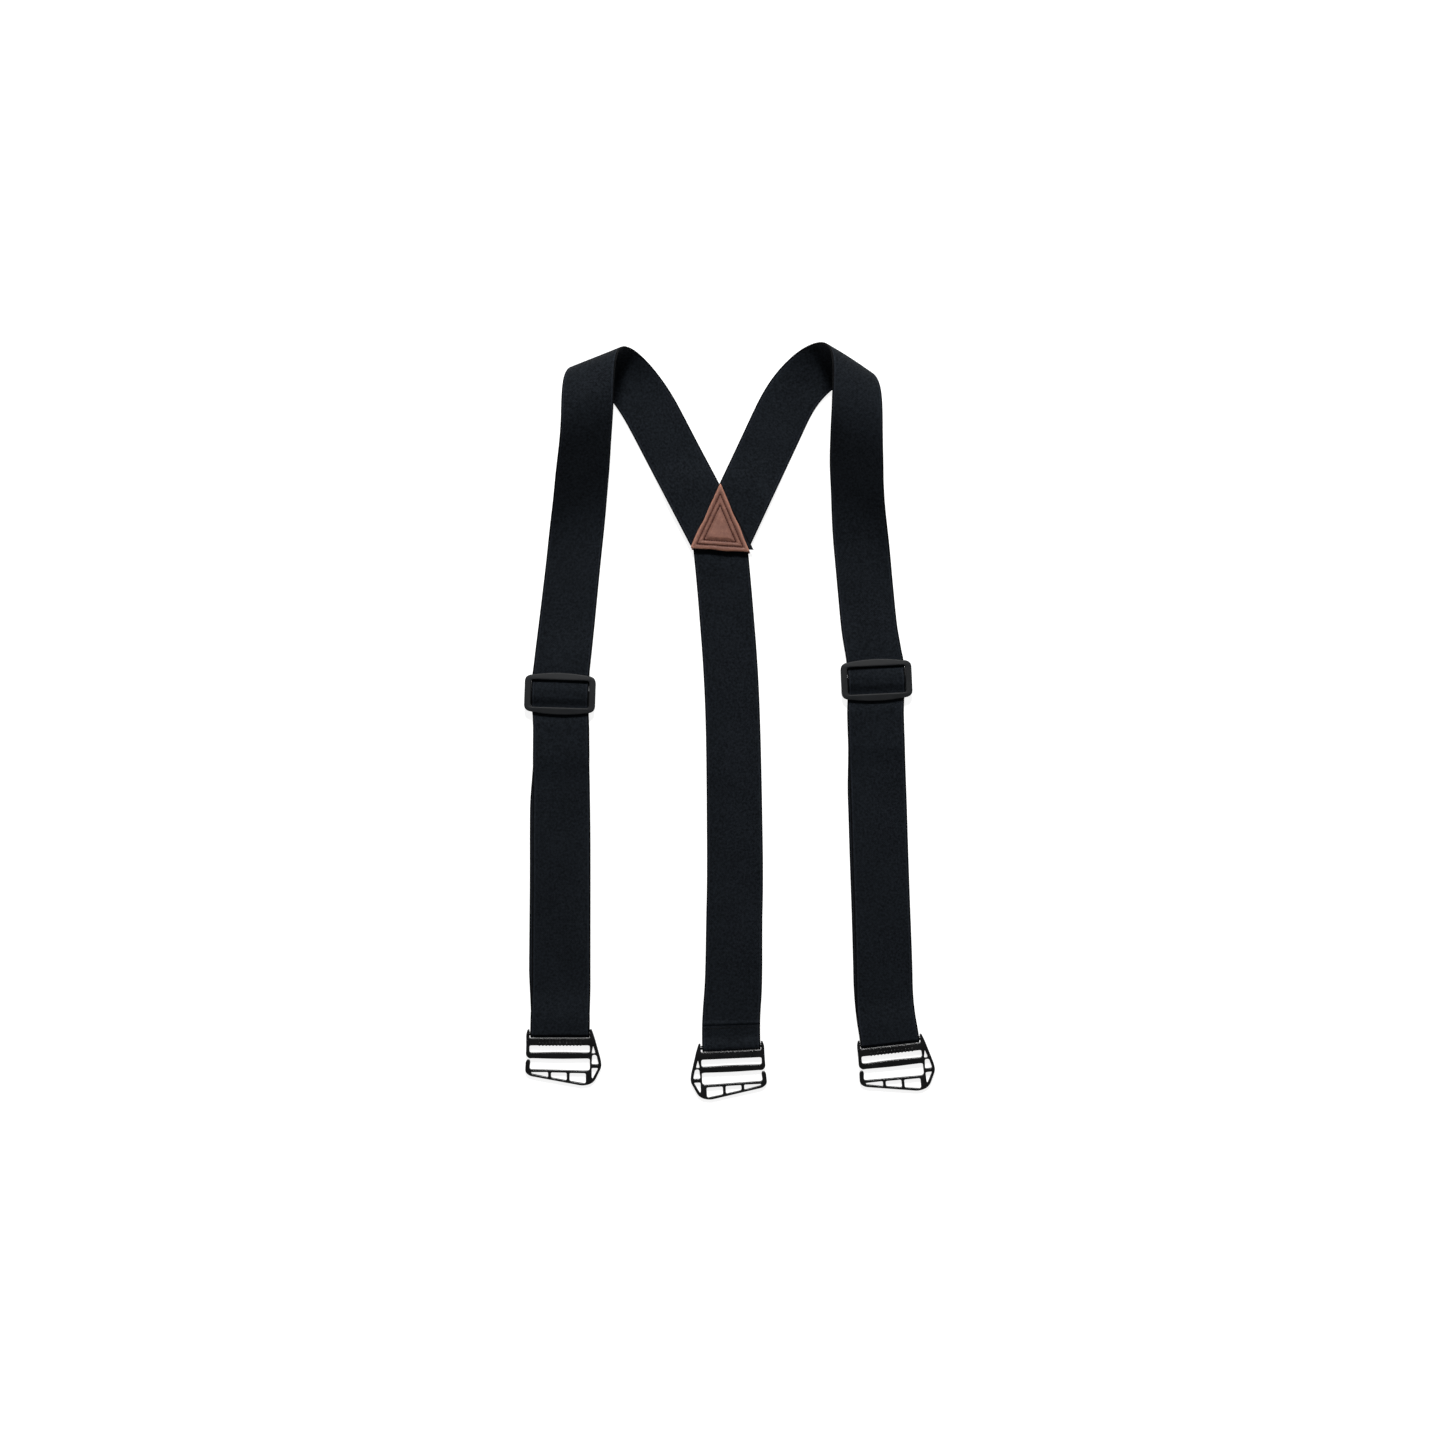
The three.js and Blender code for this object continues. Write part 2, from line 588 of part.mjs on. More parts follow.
// The back strap runs from between the patch's layers down to the third hook.
function backStrap() {
  const below = back.length; // from the patch's base line down to the bar
  const route = makeRoute({
    at: [patch.at[0] + back.endAcross, patch.at[1]], heading: back.heading, bends: back.bends,
    length: below, way: -1,
  });
  const place = (s, t, n) => {
    const flat = route.pointAt(s, t);
    const lift = patchLevelOf(1) * (1 - smooth((s - 4) / 24));
    return new THREE.Vector3(flat.x, flat.y, webbing.thickness / 2 + n + lift);
  };
  const strap = strip({
    from: at(below - endFold.tailLength - layerGap), to: at(-patch.strapCover),
    steps: 26, across: 2, place,
  });
  const assembly = hookAssembly(
    'back', route.pointAt(below, 0), route.headingAt(below), backHookFold(), true,
  );
  const tailMiddle = (endFold.tailDrop + endFold.tailLength) / 2;
  const hemLevel = -hookFoldOuter + stitchLevel;
  const hem = boxOfStitches(webbing.width - 3, 2, tailMiddle, hemLevel);
  assembly.add(named('back_hem_stitching', hem, 'thread'));
  return [named('back_strap', strap, 'webbing'), assembly];
}

function yPatch() {
  const triangle = patchTriangle();
  const outer = triangle.map(([x, y]) => [x + 0.4, y - 0.7]);
  return [
    named('outer_leather', leatherTriangle(outer, 0), 'leather'),
    named('inner_leather', leatherTriangle(triangle, innerLeatherLevel), 'leather'),
    named('patch_outer_stitching', patchStitching(patch.hem), 'thread'),
    named('patch_inner_stitching', patchStitching(patch.innerInset), 'thread'),
  ];
}

const suspenders = new THREE.Group();
Object.entries(sides).forEach(([name, side]) => {
  const routes = sideRoutes(side);
  suspenders.add(
    ...upperStraps(name, side, routes.upper),
    named(`${name}_slider_crossing`, sliderCrossing(routes), 'webbing'),
    ...lowerStraps(name, side, routes.lower),
    ...sliderAssembly(name, side, routes.lower),
  );
});
suspenders.add(...backStrap(), ...yPatch());

export default suspenders;
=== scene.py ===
"""Y-back suspenders of black elastic webbing, laid flat with both shoulder loops standing.

Every piece is worked out in millimetres and put into its mesh in metres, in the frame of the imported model.
"""

import logging
import math
from dataclasses import dataclass, field
from enum import Enum
from typing import Callable, Sequence

import bmesh
import bpy
import numpy as np
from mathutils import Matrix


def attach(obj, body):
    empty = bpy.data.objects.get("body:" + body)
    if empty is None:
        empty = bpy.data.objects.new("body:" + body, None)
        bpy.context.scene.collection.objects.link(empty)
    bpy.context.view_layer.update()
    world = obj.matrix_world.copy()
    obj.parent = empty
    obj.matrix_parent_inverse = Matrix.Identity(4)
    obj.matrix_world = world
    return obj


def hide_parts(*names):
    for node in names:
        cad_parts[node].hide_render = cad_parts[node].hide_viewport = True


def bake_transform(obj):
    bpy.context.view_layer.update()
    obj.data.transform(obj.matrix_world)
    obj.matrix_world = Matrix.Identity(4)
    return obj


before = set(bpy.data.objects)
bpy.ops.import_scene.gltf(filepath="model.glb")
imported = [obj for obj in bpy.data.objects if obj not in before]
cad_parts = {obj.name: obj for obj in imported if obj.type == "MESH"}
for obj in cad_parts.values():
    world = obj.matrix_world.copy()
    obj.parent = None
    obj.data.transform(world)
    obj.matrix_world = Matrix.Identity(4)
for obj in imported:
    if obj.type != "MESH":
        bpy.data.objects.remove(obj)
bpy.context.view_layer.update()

MM = 0.001
LOG = logging.getLogger("suspenders")
Array = np.ndarray


class Hand(Enum):
    """Which of the wearer's front straps a side is, as it lies."""

    LEFT = 1
    RIGHT = -1


class Slot(Enum):
    """The record's material slots."""

    WEBBING = "webbing"
    HARDWARE = "hardware"
    LEATHER = "leather"
    THREAD = "thread"


# ---------------------------------------------------------------- sizes


@dataclass(frozen=True)
class Levels:
    """Heights and thicknesses shared by every sub-assembly."""

    width: float = 38.0
    thickness: float = 1.3
    gap: float = 0.3
    leather: float = 1.2
    hook_bar: float = 1.4
    slider_bar: float = 1.1
    slider_window: float = 9.45
    slider_plate: float = 2.4

    @property
    def layer(self) -> float:
        """One webbing and the gap above it."""
        return self.thickness + self.gap

    @property
    def hook_fold(self) -> float:
        """Outer radius of the webbing turned round a hook's bar."""
        return self.hook_bar + self.gap + self.thickness

    @property
    def slider_fold(self) -> float:
        """Outer radius of the webbing turned round a slider's middle bar."""
        return self.slider_bar + self.gap + self.thickness

    @property
    def under_bar(self) -> float:
        """Underside of the front webbing below the slider's outer bars."""
        return 2 * self.layer

    @property
    def hump(self) -> float:
        """Underside of the front webbing over the slider's middle bar."""
        return 2 * self.slider_fold + self.gap

    def in_patch(self, count: int) -> float:
        """Underside of the webbing that lies count layers up in the patch."""
        return self.leather + self.gap + (count - 1) * self.layer


LEVELS = Levels()


# ---------------------------------------------------------------- numbers and curves


def smooth(x: Array | float) -> Array:
    """Smooth step: three x squared less two x cubed, from 0 below 0 to 1 above 1."""
    t = np.clip(np.asarray(x, float), 0.0, 1.0)
    return t * t * (3 - 2 * t)


def along_knots(s: Array, knots: Sequence[tuple[float, float]]) -> Array:
    """A value along a strap: the first knot's value and a smooth step for each change to the next.

    Args:
        s: Lengths in mm.
        knots: Pairs of a length and the value there.
    Returns:
        The value at each length.
    """
    total = np.full_like(np.asarray(s, float), knots[0][1])
    for (at, value), (next_at, next_value) in zip(knots, knots[1:]):
        total = total + (next_value - value) * smooth((s - at) / (next_at - at))
    return total


def ripple(x: Array, y: Array, seed: float) -> Array:
    """A gentle unevenness between -1 and 1: the mean of four sines with unrelated lengths.

    Args:
        x: First coordinate in mm.
        y: Second coordinate in mm.
        seed: Shifts the sines, so that two pieces differ.
    Returns:
        The unevenness at each point.
    """
    waves = (
        np.sin(x / 17.0 + 1.7 * seed) + np.sin(y / 23.0 + 2.9 * seed)
        + np.sin((x + y) / 31.0 + 0.6 * seed) + np.sin((x - 1.6 * y) / 41.0 + 4.1 * seed)
    )
    return waves / 4


@dataclass(frozen=True)
class Bend:
    """A smooth turn of a route: it starts at a length, takes a length, and turns clockwise in degrees."""

    at: float
    over: float
    turn: float


class Route:
    """The middle line of a strap seen from above, summed from a heading and smooth bends."""

    STEP = 0.25

    def __init__(
        self, start: tuple[float, float], heading: float, bends: Sequence[Bend], length: float, way: int = 1
    ) -> None:
        """Adds up the steps of the route.

        Args:
            start: Where it starts, in mm.
            heading: Degrees clockwise from +Y at the start.
            bends: Its smooth turns, in order.
            length: How long it is, in mm.
            way: 1 to run along the heading, -1 to run against it.
        """
        self.heading0 = heading
        self.bends = tuple(bends)
        self.way = way
        self.s = np.arange(0.0, length + self.STEP, self.STEP)
        middle = self.heading(self.s[:-1] + self.STEP / 2)
        self.x = start[0] + way * self.STEP * np.concatenate([[0.0], np.cumsum(np.sin(middle))])
        self.y = start[1] + way * self.STEP * np.concatenate([[0.0], np.cumsum(np.cos(middle))])

    def heading(self, s: Array | float) -> Array:
        """The first heading and each bend's smooth step.

        Args:
            s: Lengths along the route in mm.
        Returns:
            The heading at each, in radians.
        """
        total = np.full_like(np.asarray(s, float), self.heading0)
        for bend in self.bends:
            total = total + bend.turn * smooth((s - bend.at) / bend.over)
        return np.radians(total)

    def at(self, s: Array, t: Array) -> tuple[Array, Array]:
        """The points at s along the route and t to the right of it; beyond its ends it runs straight.

        Args:
            s: Lengths along the route in mm.
            t: Distances to the right in mm.
        Returns:
            Their x and y in mm.
        """
        heading = self.heading(s)
        inside = np.clip(s, 0.0, self.s[-1])
        over = (s - inside) * self.way
        x = np.interp(inside, self.s, self.x) + over * np.sin(heading)
        y = np.interp(inside, self.s, self.y) + over * np.cos(heading)
        return x + t * np.cos(heading), y - t * np.sin(heading)


class ShoulderFold:
    """A flat plan rolled about a level fold line without stretching.

    Travelling up the strap its slope rises smoothly to the climb angle, stays, and then curls over and back
    by half a turn more. Forward and height are the running sums of the slope's cosine and sine.
    """

    CLIMB = math.radians(40.0)
    CLIMB_LENGTH = 60.0
    CURL_LENGTH = 130.0
    STEP = 0.125

    def __init__(self, at: tuple[float, float], angle: float, hand: Hand) -> None:
        """Works out the side view of the fold.

        Args:
            at: A point under the fold's foremost line.
            angle: Degrees that the fold line is turned from the X axis.
            hand: Which side's fold it is.
        """
        turn = math.radians(angle)
        self.origin = np.array(at)
        self.along = np.array([hand.value * math.cos(turn), math.sin(turn)])
        self.up = np.array([-hand.value * math.sin(turn), math.cos(turn)])
        rise = self._height(self._rise, self.CLIMB_LENGTH)
        fall = -self._height(lambda c: self.CLIMB + self._curl(c), self.CURL_LENGTH)
        self.curl_at = self.CLIMB_LENGTH + (fall - rise) / math.sin(self.CLIMB)
        self.b = np.arange(0.0, self.curl_at + self.CURL_LENGTH + self.STEP, self.STEP)
        slope = self.slope(self.b[:-1] + self.STEP / 2)
        self.forward = np.concatenate([[0.0], np.cumsum(np.cos(slope))]) * self.STEP
        self.height = np.concatenate([[0.0], np.cumsum(np.sin(slope))]) * self.STEP
        self.nose = self.forward.max()

    def _rise(self, b: Array) -> Array:
        """Slope while the strap starts to climb."""
        return self.CLIMB * smooth(b / self.CLIMB_LENGTH)

    def _curl(self, c: Array) -> Array:
        """Slope taken off while the strap curls over."""
        return -(math.pi + self.CLIMB) * smooth(c / self.CURL_LENGTH)

    def _height(self, slope: Callable[[Array], Array], length: float) -> float:
        """The height gained along a length: the sum of the slope's sine."""
        middle = np.arange(self.STEP / 2, length, self.STEP)
        return float(np.sin(slope(middle)).sum() * self.STEP)

    def slope(self, b: Array) -> Array:
        """The slope at b along the unrolled strap, in radians."""
        return self._rise(b) + self._curl(b - self.curl_at)

    def place(self, x: Array, y: Array, n: Array) -> Array:
        """Lifts points of the flat plan onto the fold.

        Args:
            x: Plan x in mm.
            y: Plan y in mm.
            n: Distance above the middle surface in mm.
        Returns:
            Points, with x, y and z along the last axis.
        """
        dx, dy = x - self.origin[0], y - self.origin[1]
        u = dx * self.along[0] + dy * self.along[1]
        b = dx * self.up[0] + dy * self.up[1] + self.nose
        inside = np.clip(b, 0.0, self.b[-1])
        slope = self.slope(inside)
        forward = np.interp(inside, self.b, self.forward) + (b - inside) * np.cos(slope)
        forward = forward - np.sin(slope) * n - self.nose
        height = np.interp(inside, self.b, self.height) + np.cos(slope) * n
        return np.stack(
            [
                self.origin[0] + self.along[0] * u + self.up[0] * forward,
                self.origin[1] + self.along[1] * u + self.up[1] * forward,
                height,
            ],
            axis=-1,
        )


# ---------------------------------------------------------------- meshes


@dataclass
class Parts:
    """Surfaces gathered for one mesh: vertices in mm, faces, a UV for each vertex and a share of rubbing and
    painted shade.
    """

    points: list[Array] = field(default_factory=list)
    faces: list[Array] = field(default_factory=list)
    uvs: list[Array] = field(default_factory=list)
    wear_and_shading: list[Array] = field(default_factory=list)
    count: int = 0

    def add(self, points: Array, faces: Array, uv: Array | None = None, wear_and_shading: Array | None = None) -> None:
        """Adds one surface.

        Args:
            points: Vertices, n by 3, in mm.
            faces: Four vertex numbers a row; a triangle repeats its last one.
            uv: Pattern coordinates, n by 2.
            wear_and_shading: A value from 0 to 1 for each vertex; on the leather it marks rubbed edges and
                painted shade in the grooves.
        """
        points = np.asarray(points, float).reshape(-1, 3)
        self.points.append(points)
        self.faces.append(np.asarray(faces, int) + self.count)
        self.uvs.append(np.zeros((len(points), 2)) if uv is None else np.asarray(uv, float).reshape(-1, 2))
        self.wear_and_shading.append(np.zeros(len(points)) if wear_and_shading is None else np.asarray(wear_and_shading, float).ravel())
        self.count += len(points)

    def build(self, name: str, sharp: float = 40.0) -> bpy.types.Object:
        """Puts the surfaces into one smooth-shaded object at the origin.

        Args:
            name: The piece's name.
            sharp: Edges that turn by more degrees than this stay sharp.
        Returns:
            The new object.
        """
        points = np.concatenate(self.points) * MM
        quads = np.concatenate(self.faces)
        polygons = [tuple(dict.fromkeys(row)) for row in quads.tolist()]
        mesh = bpy.data.meshes.new(name)
        mesh.from_pydata(points.tolist(), [], polygons)
        uv = np.concatenate(self.uvs)
        corner = np.empty(len(mesh.loops), int)
        mesh.loops.foreach_get("vertex_index", corner)
        layer = mesh.uv_layers.new(name="weave")
        layer.data.foreach_set("uv", uv[corner].astype(np.float32).ravel())
        attribute = mesh.attributes.new("wear_and_shading", "FLOAT", "POINT")
        attribute.data.foreach_set("value", np.concatenate(self.wear_and_shading).astype(np.float32))
        return finished_object(name, mesh, sharp)


def finished_object(name: str, mesh: bpy.types.Mesh, sharp: float) -> bpy.types.Object:
    """Shades a mesh smooth up to an angle and links it as an object.

    Args:
        name: The object's name.
        mesh: Its mesh.
        sharp: Edges that turn by more degrees than this stay sharp.
    Returns:
        The new object.
    """
    mesh.validate()
    mesh.polygons.foreach_set("use_smooth", [True] * len(mesh.polygons))
    mesh.set_sharp_from_angle(angle=math.radians(sharp))
    mesh.update()
    piece = bpy.data.objects.new(name, mesh)
    bpy.context.scene.collection.objects.link(piece)
    return piece


def grid_faces(rows: int, columns: int, around: bool) -> Array:
    """Quads of a grid whose vertices are numbered row by row.

    Args:
        rows: How many rows of vertices.
        columns: How many vertices a row.
        around: True if each row closes on itself.
    Returns:
        Four vertex numbers a row.
    """
    steps = columns if around else columns - 1
    row, column = np.meshgrid(np.arange(rows - 1) * columns, np.arange(steps), indexing="ij")
    after = (column + 1) % columns
    quads = [row + column, row + after, row + columns + after, row + columns + column]
    return np.stack(quads, axis=-1).reshape(-1, 4)


def side_view_run(down: Array, height: Array) -> tuple[Array, Array]:
    """How far along a side view each of its points is, and the way it goes there.

    Args:
        down: Level distances in mm.
        height: Heights in mm.
    Returns:
        The summed length at each point, and the unit direction as a row of level and a row of upward shares.
    """
    run = np.concatenate([[0.0], np.cumsum(np.hypot(np.diff(down), np.diff(height)))])
    tangent = np.stack([np.gradient(down, run), np.gradient(height, run)])
    return run, tangent / np.linalg.norm(tangent, axis=0)


@dataclass(frozen=True)
class WebbingSection:
    """The webbing cut across: flat faces, a woven edge cord each side and a fine groove inside it."""

    width: float = LEVELS.width
    thickness: float = LEVELS.thickness
    edge_round: float = 0.8
    groove_at: float = 1.9
    groove_deep: float = 0.16
    across: int = 30

    def ring(self) -> tuple[Array, Array]:
        """The closed outline: the upper face from left to right, then the lower face back.

        The half thickness falls to the edge as the root of one less the square of the way into the round.
        The groove is a narrow bell curve taken off each face.

        Returns:
            Distances to the right and above the middle, in mm.
        """
        half = self.width / 2
        flat = np.linspace(-(half - 2.6), half - 2.6, self.across - 14)
        edge = half - np.array([2.35, 2.1, 1.9, 1.7, 1.3, 0.8, 0.4, 0.1])
        t = np.concatenate([-edge[::-1], flat[1:-1], edge])
        into = np.clip((np.abs(t) - (half - self.edge_round)) / self.edge_round, 0, 0.985)
        n = self.thickness / 2 * np.sqrt(1 - into**2)
        n = n - self.groove_deep * np.exp(-(((half - np.abs(t)) - self.groove_at) / 0.28) ** 2)
        return np.concatenate([t, t[::-1]]), np.concatenate([n, -n[::-1]])

    def sweep(
        self,
        place: Callable[[Array, Array, Array], Array],
        start: float,
        end: float,
        shares: Array,
        slant: float = 0.0,
        mirrored: bool = False,
    ) -> Parts:
        """Carries the section along a strap.

        Args:
            place: Turns (length along, distance right, distance above) into points.
            start: The length at which the strap starts.
            end: The length at which its middle ends.
            shares: The rows, as shares from start to end.
            slant: How much longer the strap is for each mm to the right.
            mirrored: True if place mirrors the section, so that the faces are turned round.
        Returns:
            The closed surface, with the pattern's UV in webbing widths.
        """
        t, n = self.ring()
        count = len(t)
        s = start + (end + slant * t - start)[None, :] * shares[:, None]
        points = place(s, np.broadcast_to(t, s.shape), np.broadcast_to(n, s.shape))
        uv = np.stack([np.broadcast_to(t / self.width + 0.5, s.shape), s / self.width], axis=-1)
        faces = grid_faces(len(shares), count, True)
        half = count // 2
        upper = np.arange(half - 1)
        lower = count - 1 - upper
        cap = np.stack([upper, upper + 1, lower - 1, lower], axis=-1)
        tip = cap[:, ::-1] + (len(shares) - 1) * count
        quads = np.concatenate([faces[:, ::-1], cap, tip])
        parts = Parts()
        parts.add(points, quads[:, ::-1] if mirrored else quads, uv)
        return parts


def capsules(
    centres: Array, along: Array, above: Array, half: float, wide: float, high: float
) -> tuple[Array, Array]:
    """Many small rounded rods at once.

    A rod's surface is centre + along * (half - r) * sign(c) + along * r * c + side * wide * s * cos(a)
    + above * high * s * sin(a), where c and s are the cosine and sine of the way from tip to tip.

    Args:
        centres: Middle points, n by 3.
        along: Unit directions, n by 3.
        above: Unit normals, n by 3.
        half: Half the rod's length.
        wide: Its half width.
        high: Its half height.
    Returns:
        Vertices and faces of all rods.
    """
    tips = np.radians([4.0, 30.0, 62.0, 85.0, 95.0, 118.0, 150.0, 176.0])
    rows, columns = len(tips), 10
    turn = np.arange(columns) / columns * 2 * math.pi
    side = np.cross(along, above)
    c, s = np.cos(tips)[:, None], np.sin(tips)[:, None]
    straight = max(half - wide, 0.0)
    run = np.sign(c) * straight + wide * c
    run = np.broadcast_to(run, (rows, columns))
    points = np.broadcast_to(centres[:, None, None, :], (len(centres), rows, columns, 3)).copy()
    points += along[:, None, None, :] * run[None, :, :, None]
    points += side[:, None, None, :] * (wide * s * np.cos(turn))[None, :, :, None]
    points += above[:, None, None, :] * (high * s * np.sin(turn))[None, :, :, None]
    body = grid_faces(rows, columns, True)
    fan = np.arange(1, columns - 1)
    first = np.stack([np.zeros_like(fan), fan + 1, fan, fan], axis=-1)
    last = np.stack([np.zeros_like(fan), fan, fan + 1, fan + 1], axis=-1) + (rows - 1) * columns
    one = np.concatenate([body, first, last])
    every = one[None] + (np.arange(len(centres)) * rows * columns)[:, None, None]
    return points.reshape(-1, 3), every.reshape(-1, 4)


def rounded_outline(corners: Sequence[tuple[float, float, float]], steps: int = 6) -> Array:
    """An outline whose corners are turned with quadratic curves.

    Args:
        corners: x, y and how far back each corner is cut.
        steps: How many pieces a turn has.
    Returns:
        The outline's points, n by 2.
    """
    values = np.array(corners, float)
    points, cut = values[:, :2], values[:, 2]
    before, after = np.roll(points, 1, axis=0), np.roll(points, -1, axis=0)
    to_before, to_after = before - points, after - points
    near = np.minimum(np.linalg.norm(to_before, axis=1), np.linalg.norm(to_after, axis=1)) / 2
    reach = np.minimum(cut, near)[:, None]
    enter = points + to_before / np.linalg.norm(to_before, axis=1, keepdims=True) * reach
    leave = points + to_after / np.linalg.norm(to_after, axis=1, keepdims=True) * reach
    q = np.linspace(0.0, 1.0, steps + 1)[None, :, None]
    turned = (1 - q) ** 2 * enter[:, None] + 2 * q * (1 - q) * points[:, None] + q**2 * leave[:, None]
    return turned.reshape(-1, 2)


def moulded_plate(
    outlines: Sequence[Array], low: float, high: float, edge: float
) -> tuple[Array, list[tuple[int, ...]]]:
    """A flat moulded plate with rounded rims.

    The outline and its openings are filled, given thickness, and their edges rolled by a quarter round.

    Args:
        outlines: The outer outline first, then each opening, in mm.
        low: Height of the lower face.
        high: Height of the upper face.
        edge: Radius of the rims.
    Returns:
        Vertices in mm and faces.
    """
    curve = bpy.data.curves.new("plate", "CURVE")
    curve.dimensions = "2D"
    curve.fill_mode = "BOTH"
    curve.extrude = (high - low) / 2 - edge
    curve.bevel_depth = edge
    curve.bevel_resolution = 2
    curve.offset = -edge
    for outline in outlines:
        spline = curve.splines.new("POLY")
        spline.points.add(len(outline) - 1)
        flat = np.column_stack([outline, np.zeros(len(outline)), np.ones(len(outline))])
        spline.points.foreach_set("co", flat.astype(np.float32).ravel())
        spline.use_cyclic_u = True
    holder = bpy.data.objects.new("plate", curve)
    bpy.context.scene.collection.objects.link(holder)
    bpy.context.view_layer.update()
    mesh = bpy.data.meshes.new_from_object(holder.evaluated_get(bpy.context.evaluated_depsgraph_get()))
    work = bmesh.new()
    work.from_mesh(mesh)
    bmesh.ops.remove_doubles(work, verts=work.verts, dist=1e-3)
    bmesh.ops.recalc_face_normals(work, faces=work.faces)
    work.verts.index_update()
    points = np.array([v.co[:] for v in work.verts])
    faces = [tuple(v.index for v in f.verts) for f in work.faces]
    work.free()
    bpy.data.objects.remove(holder)
    bpy.data.meshes.remove(mesh)
    bpy.data.curves.remove(curve)
    points[:, 2] += (low + high) / 2
    return points, faces


def stitch_piece(
    name: str, x: Array, y: Array, level: float, angle: Array, size: tuple[float, float, float]
) -> bpy.types.Object:
    """A row of stitches that lie level, as one piece.

    Args:
        name: The piece's name.
        x: Each stitch's x in mm.
        y: Each stitch's y in mm.
        level: The height of their middles in mm.
        angle: Which way each stitch points, from the X axis, in radians.
        size: A stitch's half length, half width and half height in mm.
    Returns:
        The new object.
    """
    flat = np.zeros_like(x)
    along = np.stack([np.cos(angle), np.sin(angle), flat], axis=-1)
    above = np.tile([0.0, 0.0, 1.0], (len(x), 1))
    parts = Parts()
    parts.add(*capsules(np.stack([x, y, flat + level], axis=-1), along, above, *size))
    return parts.build(name)


class Moulding:
    """A moulded piece gathered from plates, rods and lathe-turned bars in its own local frame."""

    def __init__(self) -> None:
        """Starts an empty moulding."""
        self.points: list[Array] = []
        self.faces: list[tuple[int, ...]] = []
        self.count = 0

    def add(self, points: Array, faces: Sequence[Sequence[int]]) -> None:
        """Adds one closed surface to the moulding.

        Args:
            points: Its vertices, n by 3, in mm.
            faces: Its faces; a triangle may repeat a vertex.
        """
        self.points.append(points)
        for face in faces:
            kept = tuple(dict.fromkeys(int(v) for v in face))
            if len(kept) > 2:
                self.faces.append(tuple(v + self.count for v in kept))
        self.count += len(points)

    def add_bar(self, radius: float, half: float, height: float, sides: int = 28) -> None:
        """Adds a round bar along X: a circle carried from end to end, with bevelled ends closed at both.

        Args:
            radius: Its radius in mm.
            half: Half its length in mm.
            height: How high its axis is in mm.
            sides: How many sides the circle has.
        """
        turn = np.arange(sides) / sides * 2 * math.pi
        bevel = 0.3
        x = np.array([-half, -half + bevel, half - bevel, half])
        r = np.array([radius - bevel, radius, radius, radius - bevel])
        points = np.stack(
            [
                np.broadcast_to(x[:, None], (4, sides)),
                r[:, None] * np.cos(turn),
                r[:, None] * np.sin(turn) + height,
            ],
            axis=-1,
        ).reshape(-1, 3)
        faces = grid_faces(4, sides, True).tolist()
        faces.append(list(range(sides - 1, -1, -1)))
        faces.append(list(range(3 * sides, 4 * sides)))
        self.add(points, faces)

    def build(self, name: str, matrix: Array, sharp: float = 35.0) -> bpy.types.Object:
        """Places the moulding with a 4 by 4 matrix in mm and makes it an object.

        Args:
            name: The piece's name.
            matrix: Turns its own frame into the model's.
            sharp: Edges that turn by more degrees than this stay sharp.
        Returns:
            The new object.
        """
        points = np.concatenate(self.points)
        placed = (points @ matrix[:3, :3].T + matrix[:3, 3]) * MM
        mesh = bpy.data.meshes.new(name)
        mesh.from_pydata(placed.tolist(), [], self.faces)
        return finished_object(name, mesh, sharp)


def turned(x: float = 0.0, y: float = 0.0, z: float = 0.0) -> Array:
    """A turn about X, then Y, then Z.

    Args:
        x: Radians about X.
        y: Radians about Y.
        z: Radians about Z.
    Returns:
        The 4 by 4 matrix.
    """
    cx, sx, cy, sy, cz, sz = math.cos(x), math.sin(x), math.cos(y), math.sin(y), math.cos(z), math.sin(z)
    about_x = np.array([[1, 0, 0, 0], [0, cx, -sx, 0], [0, sx, cx, 0], [0, 0, 0, 1]])
    about_y = np.array([[cy, 0, sy, 0], [0, 1, 0, 0], [-sy, 0, cy, 0], [0, 0, 0, 1]])
    about_z = np.array([[cz, -sz, 0, 0], [sz, cz, 0, 0], [0, 0, 1, 0], [0, 0, 0, 1]])
    return about_z @ about_y @ about_x


def moved(x: float, y: float, z: float) -> Array:
    """A shift.

    Args:
        x: How far along X in mm.
        y: How far along Y in mm.
        z: How far up in mm.
    Returns:
        The 4 by 4 matrix.
    """
    matrix = np.eye(4)
    matrix[:3, 3] = (x, y, z)
    return matrix


# ---------------------------------------------------------------- finishes


